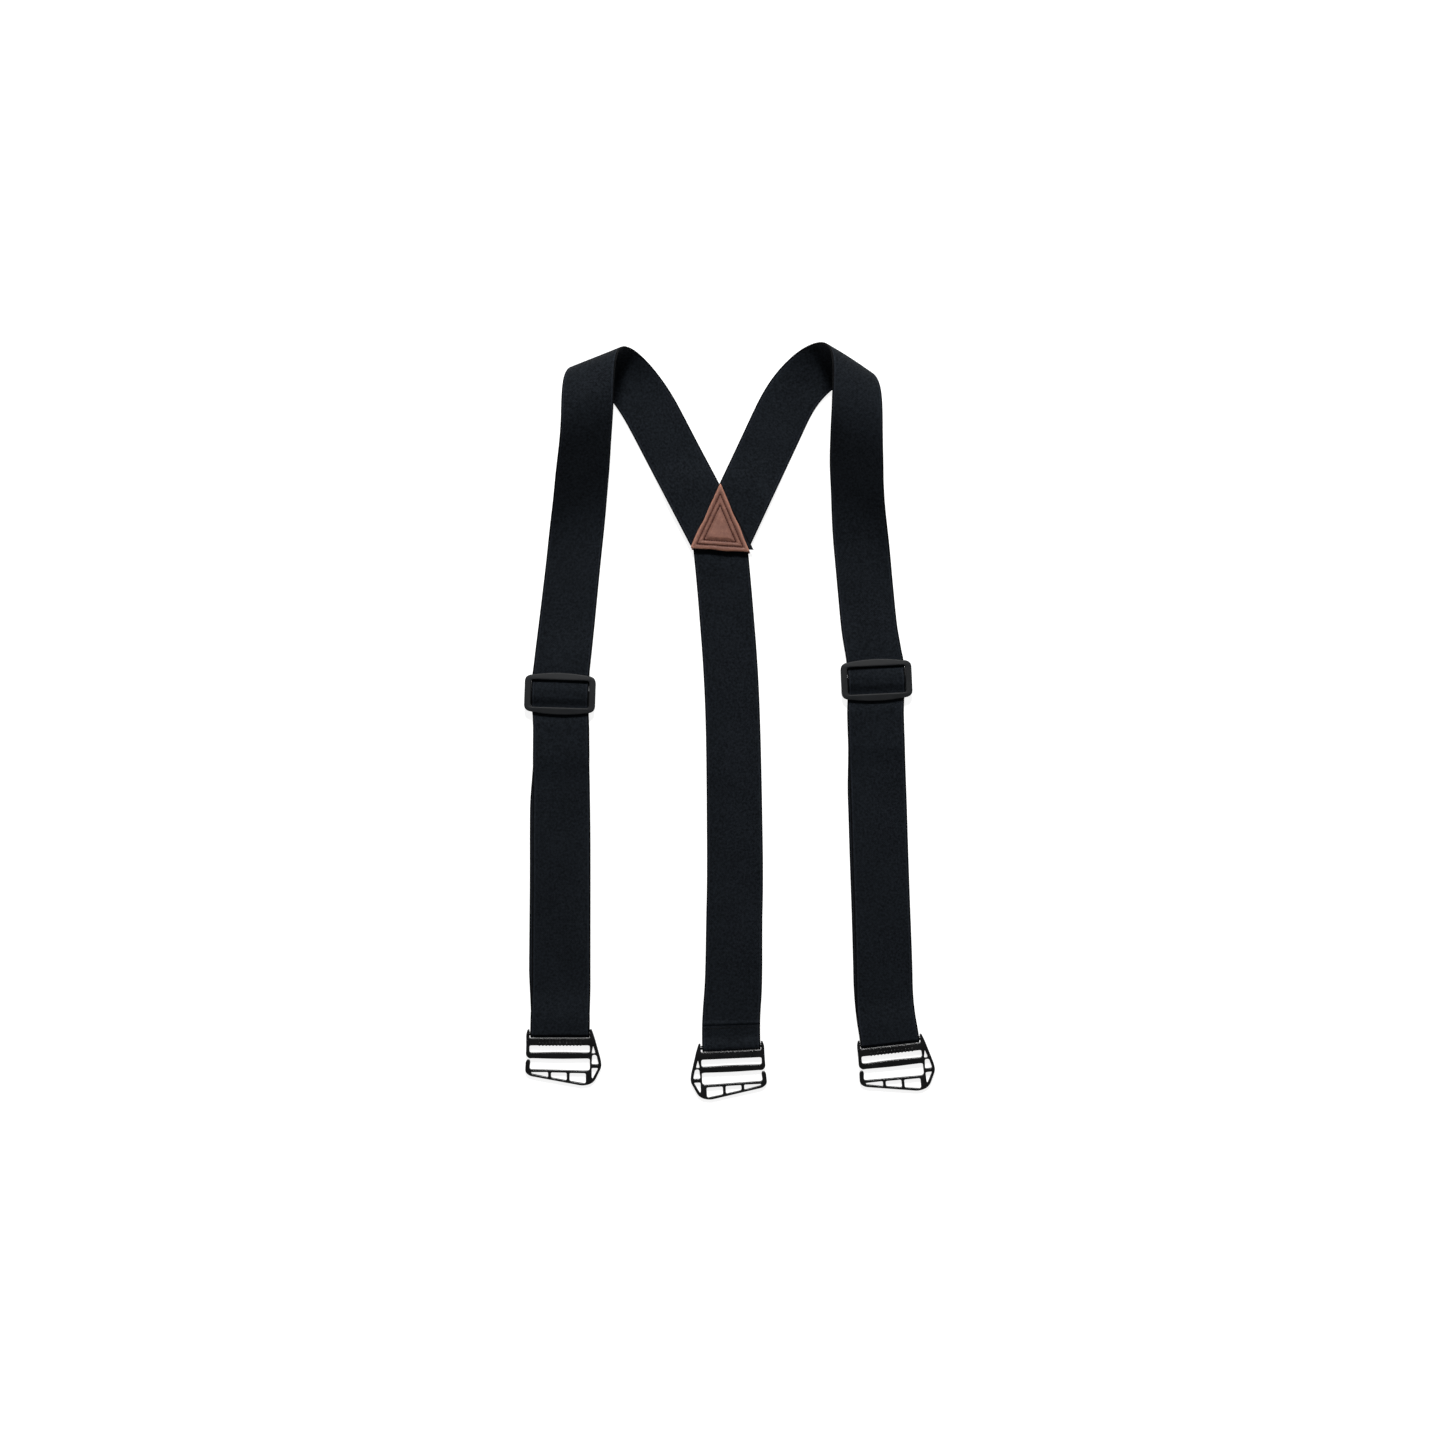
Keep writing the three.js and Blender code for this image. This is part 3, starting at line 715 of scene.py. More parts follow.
class Nodes:
    """A small helper that wires one material."""

    def __init__(self, name: str) -> None:
        """Starts a material with a Principled shader.

        Args:
            name: The material's name.
        """
        self.material = bpy.data.materials.new(name)
        self.material.use_nodes = True
        self.tree = self.material.node_tree
        self.shader = self.tree.nodes["Principled BSDF"]

    def node(self, kind: str, **settings: object) -> bpy.types.Node:
        """Adds a node and sets its properties.

        Args:
            kind: The node's type.
            settings: Its properties by name.
        Returns:
            The new node.
        """
        made = self.tree.nodes.new(kind)
        for key, value in settings.items():
            setattr(made, key, value)
        return made

    def link(self, source: object, target: object) -> None:
        """Joins an output to an input, or sets the input to a plain value.

        Args:
            source: An output socket or a value.
            target: The input socket.
        """
        if isinstance(source, bpy.types.NodeSocket):
            self.tree.links.new(source, target)
        else:
            target.default_value = source

    def math(self, operation: str, a: object, b: object = 0.0, c: object = 0.0) -> bpy.types.NodeSocket:
        """Adds a Math node.

        Args:
            operation: What it works out.
            a: Its first input.
            b: Its second input.
            c: Its third input.
        Returns:
            Its output.
        """
        made = self.node("ShaderNodeMath", operation=operation)
        for socket, value in zip(made.inputs, (a, b, c)):
            self.link(value, socket)
        return made.outputs[0]

    def between(self, share: object, a: Sequence[float], b: Sequence[float]) -> bpy.types.NodeSocket:
        """Mixes two colours.

        Args:
            share: How much of the second colour.
            a: The first colour, as a socket or red, green and blue.
            b: The second colour.
        Returns:
            The mixed colour's socket.
        """
        made = self.node("ShaderNodeMix", data_type="RGBA")
        self.link(share, made.inputs["Factor"])
        for socket, value in ((made.inputs[6], a), (made.inputs[7], b)):
            if isinstance(value, bpy.types.NodeSocket):
                self.link(value, socket)
            else:
                socket.default_value = (*value, 1.0)
        return made.outputs[2]

    def ramp(
        self, value: object, low: float, high: float, out_low: float = 0.0, out_high: float = 1.0
    ) -> bpy.types.NodeSocket:
        """Maps a value smoothly from one range to another.

        Args:
            value: The value's socket.
            low: Where the change starts.
            high: Where it ends.
            out_low: What it gives up to low.
            out_high: What it gives from high.
        Returns:
            The mapped value's socket.
        """
        made = self.node("ShaderNodeMapRange", interpolation_type="SMOOTHSTEP")
        keys = ("Value", "From Min", "From Max", "To Min", "To Max")
        for key, setting in zip(keys, (value, low, high, out_low, out_high)):
            self.link(setting, made.inputs[key])
        return made.outputs[0]

    def noise(
        self, vector: object, scale: float, detail: float = 3.0, rough: float = 0.55
    ) -> bpy.types.NodeSocket:
        """Adds a noise texture.

        Args:
            vector: Its coordinates.
            scale: Its scale, counted per metre.
            detail: How many finer layers it has.
            rough: How strong the finer layers are.
        Returns:
            Its value's socket.
        """
        made = self.node("ShaderNodeTexNoise")
        self.link(vector, made.inputs["Vector"])
        made.inputs["Scale"].default_value = scale
        made.inputs["Detail"].default_value = detail
        made.inputs["Roughness"].default_value = rough
        return made.outputs[0]

    def bump(self, height: object, distance: float, strength: float) -> None:
        """Bumps the shader's normal.

        Args:
            height: The height, from 0 to 1.
            distance: What the whole height is worth, in metres.
            strength: A share of the bump.
        """
        made = self.node("ShaderNodeBump")
        made.inputs["Strength"].default_value = strength
        made.inputs["Distance"].default_value = distance
        self.link(height, made.inputs["Height"])
        self.link(made.outputs[0], self.shader.inputs["Normal"])

    def set(self, **values: float) -> None:
        """Sets the shader's plain sockets by their names, with _ for a space."""
        for key, value in values.items():
            self.shader.inputs[key.replace("_", " ")].default_value = value


@dataclass(frozen=True)
class WebbingFinish:
    """Black elastic webbing: fine slanted twill, cross ribs, and an edge cord with a pale line of painted
    sheen inside it.

    twill, rib, warp and cord are the lengths in mm at which each pattern repeats.
    """

    deep: tuple[float, float, float] = (0.0016, 0.0022, 0.0030)
    raised: tuple[float, float, float] = (0.0088, 0.0112, 0.0146)
    edge: tuple[float, float, float] = (0.0010, 0.0012, 0.0015)
    # pale: colour of the painted sheen, a pale line just inside each edge cord.
    pale: tuple[float, float, float] = (0.016, 0.019, 0.025)
    twill: float = 1.25
    rib: float = 0.8
    warp: float = 0.95
    cord: float = 0.9
    roughness: float = 0.78

    def make(self) -> bpy.types.Material:
        """Builds the material on the piece's own UV, counted in webbing widths.

        Returns:
            The material.
        """
        n = Nodes("black_elastic_webbing")
        coords = n.node("ShaderNodeTexCoord")
        split = n.node("ShaderNodeSeparateXYZ")
        n.link(coords.outputs["UV"], split.inputs[0])
        across = n.math("MULTIPLY", split.outputs[0], LEVELS.width)
        along = n.math("MULTIPLY", split.outputs[1], LEVELS.width)
        wobble = n.noise(coords.outputs["Object"], 260.0, 2.0)
        slant = n.math("ADD", across, n.math("MULTIPLY", along, 0.9))
        slant = n.math("ADD", slant, n.math("MULTIPLY", wobble, 0.9))
        twill = n.math("SINE", n.math("MULTIPLY", slant, 2 * math.pi / self.twill))
        broken = n.ramp(n.noise(coords.outputs["Object"], 520.0, 2.0), 0.3, 0.6)
        twill = n.math("MULTIPLY", twill, broken)
        rib = n.math("SINE", n.math("MULTIPLY", along, 2 * math.pi / self.rib))
        warp = n.math("SINE", n.math("MULTIPLY", across, 2 * math.pi / self.warp))
        crossing = n.math("MULTIPLY_ADD", n.math("MULTIPLY", rib, warp), 0.18, 0.5)
        weave = n.math("MULTIPLY_ADD", twill, 0.32, crossing)
        speck = n.noise(coords.outputs["Object"], 640.0, 4.0, 0.7)
        tone = n.math("MULTIPLY_ADD", speck, 1.9, n.math("MULTIPLY_ADD", weave, 0.7, -0.8))
        patchy = n.noise(coords.outputs["Object"], 28.0, 3.0)
        tone = n.math("MULTIPLY_ADD", patchy, 0.35, n.math("SUBTRACT", tone, 0.17))
        cloth = n.between(n.ramp(tone, 0.05, 0.95), self.deep, self.raised)
        off_middle = n.math("ABSOLUTE", n.math("SUBTRACT", across, LEVELS.width / 2))
        off_edge = n.math("SUBTRACT", LEVELS.width / 2, off_middle)
        cord = n.ramp(off_edge, 1.1, 0.6)
        # Painted sheen: a pale line about 1 to 2.3 mm inside each edge, mixed into the cloth at 0.35.
        pale = n.math("MULTIPLY", n.ramp(off_edge, 1.0, 1.5), n.ramp(off_edge, 2.3, 1.8))
        cloth = n.between(n.math("MULTIPLY", pale, 0.35), cloth, self.pale)
        n.link(n.between(cord, cloth, self.edge), n.shader.inputs["Base Color"])
        rough = n.ramp(tone, 0.0, 1.0, self.roughness + 0.12, self.roughness - 0.06)
        n.link(rough, n.shader.inputs["Roughness"])
        cords = n.math("SINE", n.math("MULTIPLY", along, 2 * math.pi / self.cord))
        height = n.math("MULTIPLY_ADD", n.math("MULTIPLY", cords, cord), 0.25, weave)
        n.bump(height, 0.00022, 0.8)
        n.set(Specular_IOR_Level=0.05, Sheen_Weight=0.004, Sheen_Roughness=0.4)
        return n.material


@dataclass(frozen=True)
class PlasticFinish:
    """Satin black moulded plastic with a fine spark-eroded grain and faint paler clouds."""

    name: str
    colour: tuple[float, float, float]
    rubbed: tuple[float, float, float]
    roughness: float
    gloss: float

    def make(self) -> bpy.types.Material:
        """Builds the material on Object coordinates.

        Returns:
            The material.
        """
        n = Nodes(self.name)
        coords = n.node("ShaderNodeTexCoord").outputs["Object"]
        grain = n.noise(coords, 2600.0, 2.0, 0.6)
        cloud = n.noise(coords, 90.0, 4.0, 0.6)
        flow = n.ramp(cloud, 0.35, 0.7)
        colour = n.between(n.math("MULTIPLY", flow, 0.6), self.colour, self.rubbed)
        n.link(colour, n.shader.inputs["Base Color"])
        rough = n.math("MULTIPLY_ADD", cloud, 0.22, self.roughness - 0.11)
        n.link(n.math("MULTIPLY_ADD", grain, 0.08, rough), n.shader.inputs["Roughness"])
        n.bump(n.math("MULTIPLY_ADD", grain, 0.5, n.math("MULTIPLY", cloud, 0.5)), 0.00006, 0.7)
        n.set(Specular_IOR_Level=self.gloss)
        return n.material


@dataclass(frozen=True)
class LeatherFinish:
    """Soft brown leather with pebbled grain, painted shade in the sewn rows, paler rubbed edges and slightly
    paler puffed crowns.
    """

    body: tuple[float, float, float] = (0.160, 0.068, 0.047)
    # dark: deep tone for clouds and grain, and the painted shade in the sewn grooves.
    dark: tuple[float, float, float] = (0.050, 0.015, 0.010)
    pale: tuple[float, float, float] = (0.330, 0.145, 0.095)

    def make(self) -> bpy.types.Material:
        """Builds the material on Object coordinates and the piece's wear_and_shading attribute, which holds
        rubbed edges and painted groove shade.

        Returns:
            The material.
        """
        n = Nodes("brown_leather")
        coords = n.node("ShaderNodeTexCoord").outputs["Object"]
        wear_and_shading = n.node("ShaderNodeAttribute", attribute_name="wear_and_shading").outputs["Fac"]
        cells = n.node("ShaderNodeTexVoronoi", feature="DISTANCE_TO_EDGE")
        n.link(coords, cells.inputs["Vector"])
        cells.inputs["Scale"].default_value = 1100.0
        cells.inputs["Randomness"].default_value = 1.0
        pebble = n.ramp(cells.outputs["Distance"], 0.0, 0.16)
        cloud = n.noise(coords, 120.0, 5.0, 0.62)
        streak = n.noise(coords, 420.0, 4.0, 0.65)
        tone = n.between(n.ramp(cloud, 0.3, 0.7), self.dark, self.body)
        tone = n.between(0.62, tone, self.body)
        tone = n.between(n.math("MULTIPLY", n.ramp(streak, 0.42, 0.75), 0.35), tone, self.pale)
        tone = n.between(n.math("MULTIPLY", n.math("SUBTRACT", 1.0, pebble), 0.35), tone, self.dark)
        # Paler on the rubbed rim and a little on the puffed crowns; darker where the attribute is low, a
        # painted shade in the sewn grooves.
        paler_rim_and_crown = n.ramp(wear_and_shading, 0.5, 1.0)
        groove_shade = n.ramp(wear_and_shading, 0.45, 0.0)
        tone = n.between(n.math("MULTIPLY", paler_rim_and_crown, 0.95), tone, self.pale)
        tone = n.between(n.math("MULTIPLY", groove_shade, 0.9), tone, self.dark)
        n.link(tone, n.shader.inputs["Base Color"])
        n.link(n.math("MULTIPLY_ADD", cloud, 0.25, 0.45), n.shader.inputs["Roughness"])
        height = n.math("MULTIPLY_ADD", pebble, 0.5, n.math("MULTIPLY", streak, 0.6))
        n.bump(height, 0.00022, 0.8)
        n.set(Specular_IOR_Level=0.4)
        return n.material


@dataclass(frozen=True)
class ThreadFinish:
    """Twisted sewing thread."""

    name: str
    colour: tuple[float, float, float]

    def make(self) -> bpy.types.Material:
        """Builds the material on Object coordinates.

        Returns:
            The material.
        """
        n = Nodes(self.name)
        coords = n.node("ShaderNodeTexCoord").outputs["Object"]
        twist = n.node("ShaderNodeTexWave", wave_type="BANDS", bands_direction="DIAGONAL")
        n.link(coords, twist.inputs["Vector"])
        twist.inputs["Scale"].default_value = 900.0
        twist.inputs["Distortion"].default_value = 1.5
        pale = tuple(min(1.0, c * 2.2 + 0.003) for c in self.colour)
        n.link(n.between(twist.outputs["Fac"], self.colour, pale), n.shader.inputs["Base Color"])
        n.bump(twist.outputs["Fac"], 0.00008, 0.8)
        n.set(Roughness=0.75, Specular_IOR_Level=0.1)
        return n.material


@dataclass(frozen=True)
class FloorFinish:
    """The plain white floor."""

    colour: tuple[float, float, float] = (0.35, 0.35, 0.35)
    glow: float = 0.86

    def make(self) -> bpy.types.Material:
        """Builds a matt surface that glows almost white, with a trace of unevenness.

        Returns:
            The material.
        """
        n = Nodes("pale_floor")
        coords = n.node("ShaderNodeTexCoord").outputs["Object"]
        cloud = n.noise(coords, 2.0, 2.0)
        paler = tuple(c + 0.01 for c in self.colour)
        n.link(n.between(cloud, self.colour, paler), n.shader.inputs["Base Color"])
        n.shader.inputs["Emission Color"].default_value = (1.0, 1.0, 1.0, 1.0)
        n.set(Roughness=0.9, Specular_IOR_Level=0.1, Emission_Strength=self.glow)
        return n.material


class Finishes:
    """One of each material, made once."""

    def __init__(self) -> None:
        """Makes the materials."""
        self.webbing = WebbingFinish().make()
        self.hook = PlasticFinish(
            "hook_plastic", (0.0022, 0.0024, 0.0027), (0.0046, 0.0049, 0.0054), 0.3, 0.45
        ).make()
        self.slider = PlasticFinish(
            "slider_plastic", (0.0078, 0.0086, 0.0096), (0.0110, 0.0120, 0.0132), 0.5, 0.18
        ).make()
        self.leather = LeatherFinish().make()
        self.leather_thread = ThreadFinish("patch_thread", (0.030, 0.010, 0.008)).make()
        self.black_thread = ThreadFinish("webbing_thread", (0.0012, 0.0013, 0.0016)).make()
        self.floor = FloorFinish().make()


def dress(piece: bpy.types.Object, material: bpy.types.Material, nodes: Sequence[str]) -> None:
    """Gives a piece its material, hides the model's nodes that it stands for and logs its face count.

    Args:
        piece: The new object.
        material: Its finish.
        nodes: The model's nodes that it replaces.
    """
    piece.data.materials.append(material)
    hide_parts(*nodes)
    LOG.info("%s: %d faces", piece.name, len(piece.data.polygons))


# ---------------------------------------------------------------- hooks


@dataclass(frozen=True)
class BeltHook:
    """A flat moulded belt hook, seen from its face: its bar is on the X axis, its belt slot towards -Y."""

    name: str
    body: str
    node: str
    at: tuple[float, float]
    heading: float
    flipped: bool
    half_slot: float = 21.1
    thick: float = 2.6
    reach: float = 36.9
    rim: float = 0.42
    ridges: int = 13
    ridge_pitch: float = 2.4
    marks: int = 7
    mark_pitch: float = 5.0
    mark_slant: float = 0.9

    def outlines(self) -> list[Array]:
        """Draws the plate; each corner has its x, its y and how far back it is rounded.

        Returns:
            The outer outline, then the openings: the wide one, three in the end bar, three in the side.
        """
        half = self.half_slot
        outer = [
            (-half, 3.0, 0.55), (-22.3, 3.0, 0.65), (-23.4, -0.5, 2.0), (-23.3, -7.0, 5.0),
            (-23.6, -15.4, 1.6), (-21.3, -17.5, 1.2), (-19.0, -17.3, 0.6), (0.0, -17.8, 8.0),
            (19.5, -17.5, 0.6), (half, -17.9, 1.0), (half, -26.0, 3.4), (17.0, -26.1, 0.8),
            (-17.6, -25.2, 1.0), (-21.2, -25.1, 3.4), (-20.5, -20.0, 1.0), (-21.0, -18.3, 1.0),
            (-22.6, -18.2, 1.0), (-23.8, -19.7, 1.0), (-24.2, -27.2, 3.2), (-20.8, -29.8, 1.8),
            (17.0, -36.9, 3.6), (23.8, -34.6, 4.2), (29.3, -23.4, 2.6), (28.9, -19.0, 3.0), (24.3, -2.2, 4.0),
            (22.4, 3.0, 0.65), (half, 3.0, 0.55), (half, -3.2, 0.8), (-half, -3.2, 0.8),
        ]
        openings = [
            [(-half, -8.3, 1.4), (half, -8.3, 1.4), (half, -13.3, 1.4), (18.0, -13.4, 1.0), (0.0, -13.0, 8.0),
             (-18.0, -13.4, 1.0), (-half, -13.3, 1.4)],
            [(-20.0, -27.1, 0.5), (-8.1, -27.1, 0.9), (-8.1, -30.7, 0.9), (-19.6, -28.2, 0.3)],
            [(-6.1, -27.3, 1.1), (4.9, -27.5, 1.1), (4.9, -32.9, 1.1), (-6.1, -30.9, 1.1)],
            [(6.9, -27.7, 1.1), (18.3, -27.9, 1.3), (18.2, -35.2, 1.5), (6.9, -33.3, 1.1)],
            [(23.4, -8.6, 0.7), (25.1, -13.9, 1.0), (22.4, -13.9, 0.8)],
            [(22.8, -15.0, 1.3), (25.7, -15.0, 1.3), (27.3, -21.6, 1.0), (22.3, -21.6, 1.0)],
            [(22.3, -24.2, 1.1), (27.0, -24.2, 1.1), (23.0, -31.6, 0.7), (22.4, -31.0, 0.7)],
        ]
        return [rounded_outline(corners) for corners in (outer, *openings)]

    def place(self) -> Array:
        """Turns the hook over if it is flipped, tilts it till its end meets the floor, and heads it.

        Returns:
            The 4 by 4 matrix from the hook's own frame, in mm.
        """
        level = LEVELS.hook_fold
        tilt = math.asin((level - self.thick / 2 - 0.05) / self.reach)
        over = turned(y=math.pi if self.flipped else 0.0)
        return moved(*self.at, level) @ turned(z=-math.radians(self.heading)) @ turned(x=tilt) @ over

    def build(self, finishes: Finishes) -> None:
        """Moulds the hook: plate, round bar, gripping ridges on its face, small angled marks on its back.

        Args:
            finishes: The materials.
        """
        half = self.thick / 2
        moulding = Moulding()
        moulding.add(*moulded_plate(self.outlines(), -half, half, self.rim))
        moulding.add_bar(LEVELS.hook_bar, self.half_slot + 0.7, 0.0)
        spots = (np.arange(self.ridges) - self.ridges // 2) * self.ridge_pitch + 0.3
        above = np.tile([0.0, 0.0, 1.0], (len(spots), 1))
        for row, lean in ((-4.75, 0.3), (-7.15, 0.0)):
            centres = np.stack([spots, np.full_like(spots, row), np.full_like(spots, 0.8)], axis=-1)
            along = np.tile([math.sin(lean), math.cos(lean), 0.0], (len(spots), 1))
            moulding.add(*capsules(centres, along, above, 1.55, 0.82, 0.95))
        spots = (np.arange(self.marks) - self.marks // 2) * self.mark_pitch
        for row, way in ((-5.0, 1), (-6.15, -1)):
            centres = np.stack([spots, np.full_like(spots, row), np.full_like(spots, -half)], axis=-1)
            leg = [-math.cos(self.mark_slant), way * math.sin(self.mark_slant), 0.0]
            along = np.tile(leg, (len(spots), 1))
            moulding.add(*capsules(centres, along, above[: self.marks], 0.95, 0.42, 0.55))
        piece = moulding.build(self.name, self.place())
        dress(piece, finishes.hook, [self.node])
        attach(piece, self.body)


# ---------------------------------------------------------------- sliders


@dataclass(frozen=True)
class Slider:
    """A moulded slider: two wide bowed bars, two deep side rails and a round middle bar below them."""

    name: str
    body: str
    node: str
    at: tuple[float, float]
    heading: float
    width: float = 49.5
    height: float = 29.4
    bow: float = 1.7
    corner: float = 5.0
    rail: float = 4.5
    rim: float = 0.75

    def frame_outlines(self) -> list[Array]:
        """The bowed outer outline and the window.

        Each bar's outer edge is a quadratic curve that stands bow further out in its middle.

        Returns:
            The two outlines.
        """
        x, y = self.width / 2, self.height / 2
        q = np.linspace(0.0, 1.0, 25)[:, None]
        right, left = np.array([x - self.corner, y - self.bow]), np.array([-x + self.corner, y - self.bow])
        top = (1 - q) ** 2 * right + 2 * q * (1 - q) * np.array([0.0, y + self.bow]) + q**2 * left
        q = np.linspace(0.0, 1.0, 9)[1:-1, None]
        knee = np.array([x, y - self.bow - 0.6])
        bottom = np.array([x, y - self.bow - self.corner])
        right_turn = (1 - q) ** 2 * bottom + 2 * q * (1 - q) * knee + q**2 * right
        flip = np.array([-1.0, 1.0])
        upper = np.concatenate([[bottom], right_turn, top, (right_turn * flip)[::-1], [bottom * flip]])
        outer = np.concatenate([upper, -upper])
        wx, wy = x - self.rail, LEVELS.slider_window
        window = rounded_outline([(-wx, -wy, 2.0), (-wx, wy, 2.0), (wx, wy, 2.0), (wx, -wy, 2.0)])
        return [outer, window]

    def build(self, finishes: Finishes) -> None:
        """Moulds the slider and places it.

        Args:
            finishes: The materials.
        """
        plate = LEVELS.under_bar + LEVELS.thickness + LEVELS.gap
        top = plate + LEVELS.slider_plate
        low = LEVELS.slider_fold - LEVELS.slider_bar
        moulding = Moulding()
        moulding.add(*moulded_plate(self.frame_outlines(), plate, top, self.rim))
        x, half = self.width / 2, LEVELS.slider_window - 0.45
        for hand in (-1, 1):
            middle, wide = hand * (x - self.rail / 2 - 0.05), self.rail / 2
            inner, outer = middle - wide, middle + wide
            corners = [(inner, -half, 1.0), (outer, -half, 1.0), (outer, half, 1.0), (inner, half, 1.0)]
            moulding.add(*moulded_plate([rounded_outline(corners)], low, top - 0.35, 0.5))
        moulding.add_bar(LEVELS.slider_bar, x - 1.0, LEVELS.slider_fold)
        piece = moulding.build(self.name, moved(*self.at, 0.0) @ turned(z=-math.radians(self.heading)))
        dress(piece, finishes.slider, [self.node])
        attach(piece, self.body)


# ---------------------------------------------------------------- front straps


@dataclass(frozen=True)
class FrontStrap:
    """One side: the long webbing over the shoulder, its slider, the doubled length below it and its hook."""

    hand: Hand
    slider_at: tuple[float, float]
    slider_heading: float
    upper_bends: tuple[Bend, ...]
    lower_bends: tuple[Bend, ...]
    lower_length: float
    fold_at: tuple[float, float]
    fold_angle: float
    roll: float
    roll_at: float
    patch_layer: int
    back_shift: float
    upper_width: tuple[tuple[float, float], ...]
    upper_shift: tuple[tuple[float, float], ...]
    lower_width: tuple[tuple[float, float], ...]
    lower_shift: tuple[tuple[float, float], ...]
    roll_in: float = 100.0
    roll_out: float = 58.0
    arm_overlap: float = 45.0
    cut_back: float = 2.3
    seam: float = 11.5
    tab: float = 42.0
    blend_slant: float = 35.0
    settle_at: float = 16.0
    settle_over: float = 40.0
    patch_climb: float = 32.0
    bar_flat: float = 2.0
    free_from: float = 60.0
    free_until: float = 110.0
    free_over: float = 60.0
    free_high: float = 0.5
    over_tab: float = 0.8
    tab_drop: float = 20.0
    tab_dip: float = 8.5
    hook_rise: float = 25.0
    hook_level: float = 7.0

    @property
    def side(self) -> str:
        """The side's name."""
        return self.hand.name.lower()

    def routes(self) -> tuple[Route, Route]:
        """Draws the strap from above; both routes start at the slider.

        Returns:
            The route up over the shoulder and the route down to the hook.
        """
        upper = Route(self.slider_at, self.slider_heading, self.upper_bends, 560.0)
        lower = Route(self.slider_at, self.slider_heading, self.lower_bends, self.lower_length, -1)
        return upper, lower

    def patch_length(self, patch: "BackPatch", upper: Route, fold: ShoulderFold) -> float:
        """Finds where the middle line comes down to the base of the patch.

        Args:
            patch: The patch.
            upper: The route over the shoulder.
            fold: The shoulder's fold.
        Returns:
            The length along the route, in mm.
        """
        s = np.arange(400.0, 560.0, 0.05)
        x, y = upper.at(s, np.zeros_like(s))
        points = fold.place(x, y, np.zeros_like(s))
        down = patch.down()
        below = (points[:, 0] - patch.at[0]) * down[0] + (points[:, 1] - patch.at[1]) * down[1]
        return float(s[np.argmax(below > 0)])

    def shoulder_webbing(self, patch: "BackPatch", finishes: Finishes) -> None:
        """Makes the webbing from the slider, over its middle bar, round the shoulder and to the patch.

        The level is the sum of smooth steps: under the slider's bars, over its middle bar, down to the floor,
        and up onto the layer it has in the patch.

        Args:
            patch: The patch.
            finishes: The materials.
        """
        upper, lower = self.routes()
        fold = ShoulderFold(self.fold_at, self.fold_angle, self.hand)
        length = self.patch_length(patch, upper, fold)
        hand = self.hand.value
        cut = math.radians(2 * self.fold_angle - hand * patch.turn) + hand * float(upper.heading(length))

        def place(s: Array, t: Array, n: Array) -> Array:
            """Lays the strap along its routes, rolls it where it enters the loop and lifts it onto the fold.

            Args:
                s: Length along in mm.
                t: Distance right in mm.
                n: Distance above the middle surface in mm.
            Returns:
                Points, with x, y and z along the last axis.
            """
            roll = math.radians(self.roll) * smooth((s - self.roll_at + self.roll_in) / self.roll_in)
            roll = roll * (1 - smooth((s - self.roll_at) / self.roll_out))
            t = t * along_knots(s, self.upper_width) / LEVELS.width
            right = t * np.cos(roll) + n * np.sin(roll) + along_knots(s, self.upper_shift)
            above = hand * t * np.sin(roll) + n * np.cos(roll)
            ux, uy = upper.at(np.maximum(s, 0.0), right)
            lx, ly = lower.at(np.maximum(-s, 0.0), right)
            points = fold.place(np.where(s < 0, lx, ux), np.where(s < 0, ly, uy), above)
            slope = LEVELS.slider_window - self.bar_flat - LEVELS.gap / 2
            hump = (LEVELS.hump - LEVELS.under_bar) * (1 - smooth((np.abs(s) - self.bar_flat) / slope))
            near_slider = LEVELS.under_bar * (1 - smooth((s - self.settle_at) / self.settle_over))
            climb_at = length - self.arm_overlap - self.patch_climb
            near_patch = LEVELS.in_patch(self.patch_layer) * smooth((s - climb_at) / self.patch_climb)
            free = smooth((s - self.free_from) / self.free_over)
            free = free * (1 - smooth((s - length + self.free_until) / self.free_over))
            points[..., 2] += LEVELS.thickness / 2 + hump + near_slider + near_patch
            points[..., 2] += free * self.free_high * (1 + ripple(s, t * 2.0, 1.3 * hand))
            return points

        near = np.arange(-self.seam + 0.2, 20.0, 0.7)
        far = np.linspace(20.0, length, 230)
        rows = np.concatenate([near, far])
        shares = (rows - rows[0]) / (rows[-1] - rows[0])
        slant = hand * math.tan(cut)
        parts = WebbingSection().sweep(place, rows[0], length - self.cut_back, shares, slant, mirrored=True)
        piece = parts.build(f"{self.side}_shoulder_webbing")
        stands_for = ("front_strap", "shoulder_loop", "back_arm", "slider_crossing")
        dress(piece, finishes.webbing, [f"{self.side}_{part}" for part in stands_for])
        self.blend_upper(piece, patch, upper)

    def blend_upper(self, piece: bpy.types.Object, patch: "BackPatch", upper: Route) -> None:
        """Bakes the shoulder webbing's placement into its mesh; the ends of a line slanted above the slider
        are worked out but not used.

        Args:
            piece: The shoulder webbing.
            patch: The patch, whose near corner is before the line's start.
            upper: The strap's route, whose inner edge just above the slider is the line's end.
        """
        hand = self.hand.value
        slant = math.radians(self.blend_slant)
        along = np.array([-hand * math.sin(slant), -math.cos(slant)])
        corner = patch.corners()[1 if self.hand is Hand.LEFT else 2] + 3.0 * along
        x, y = upper.at(np.array([self.settle_at + 2.0]), np.array([hand * (LEVELS.width / 2 + 1.2)]))
        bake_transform(piece)

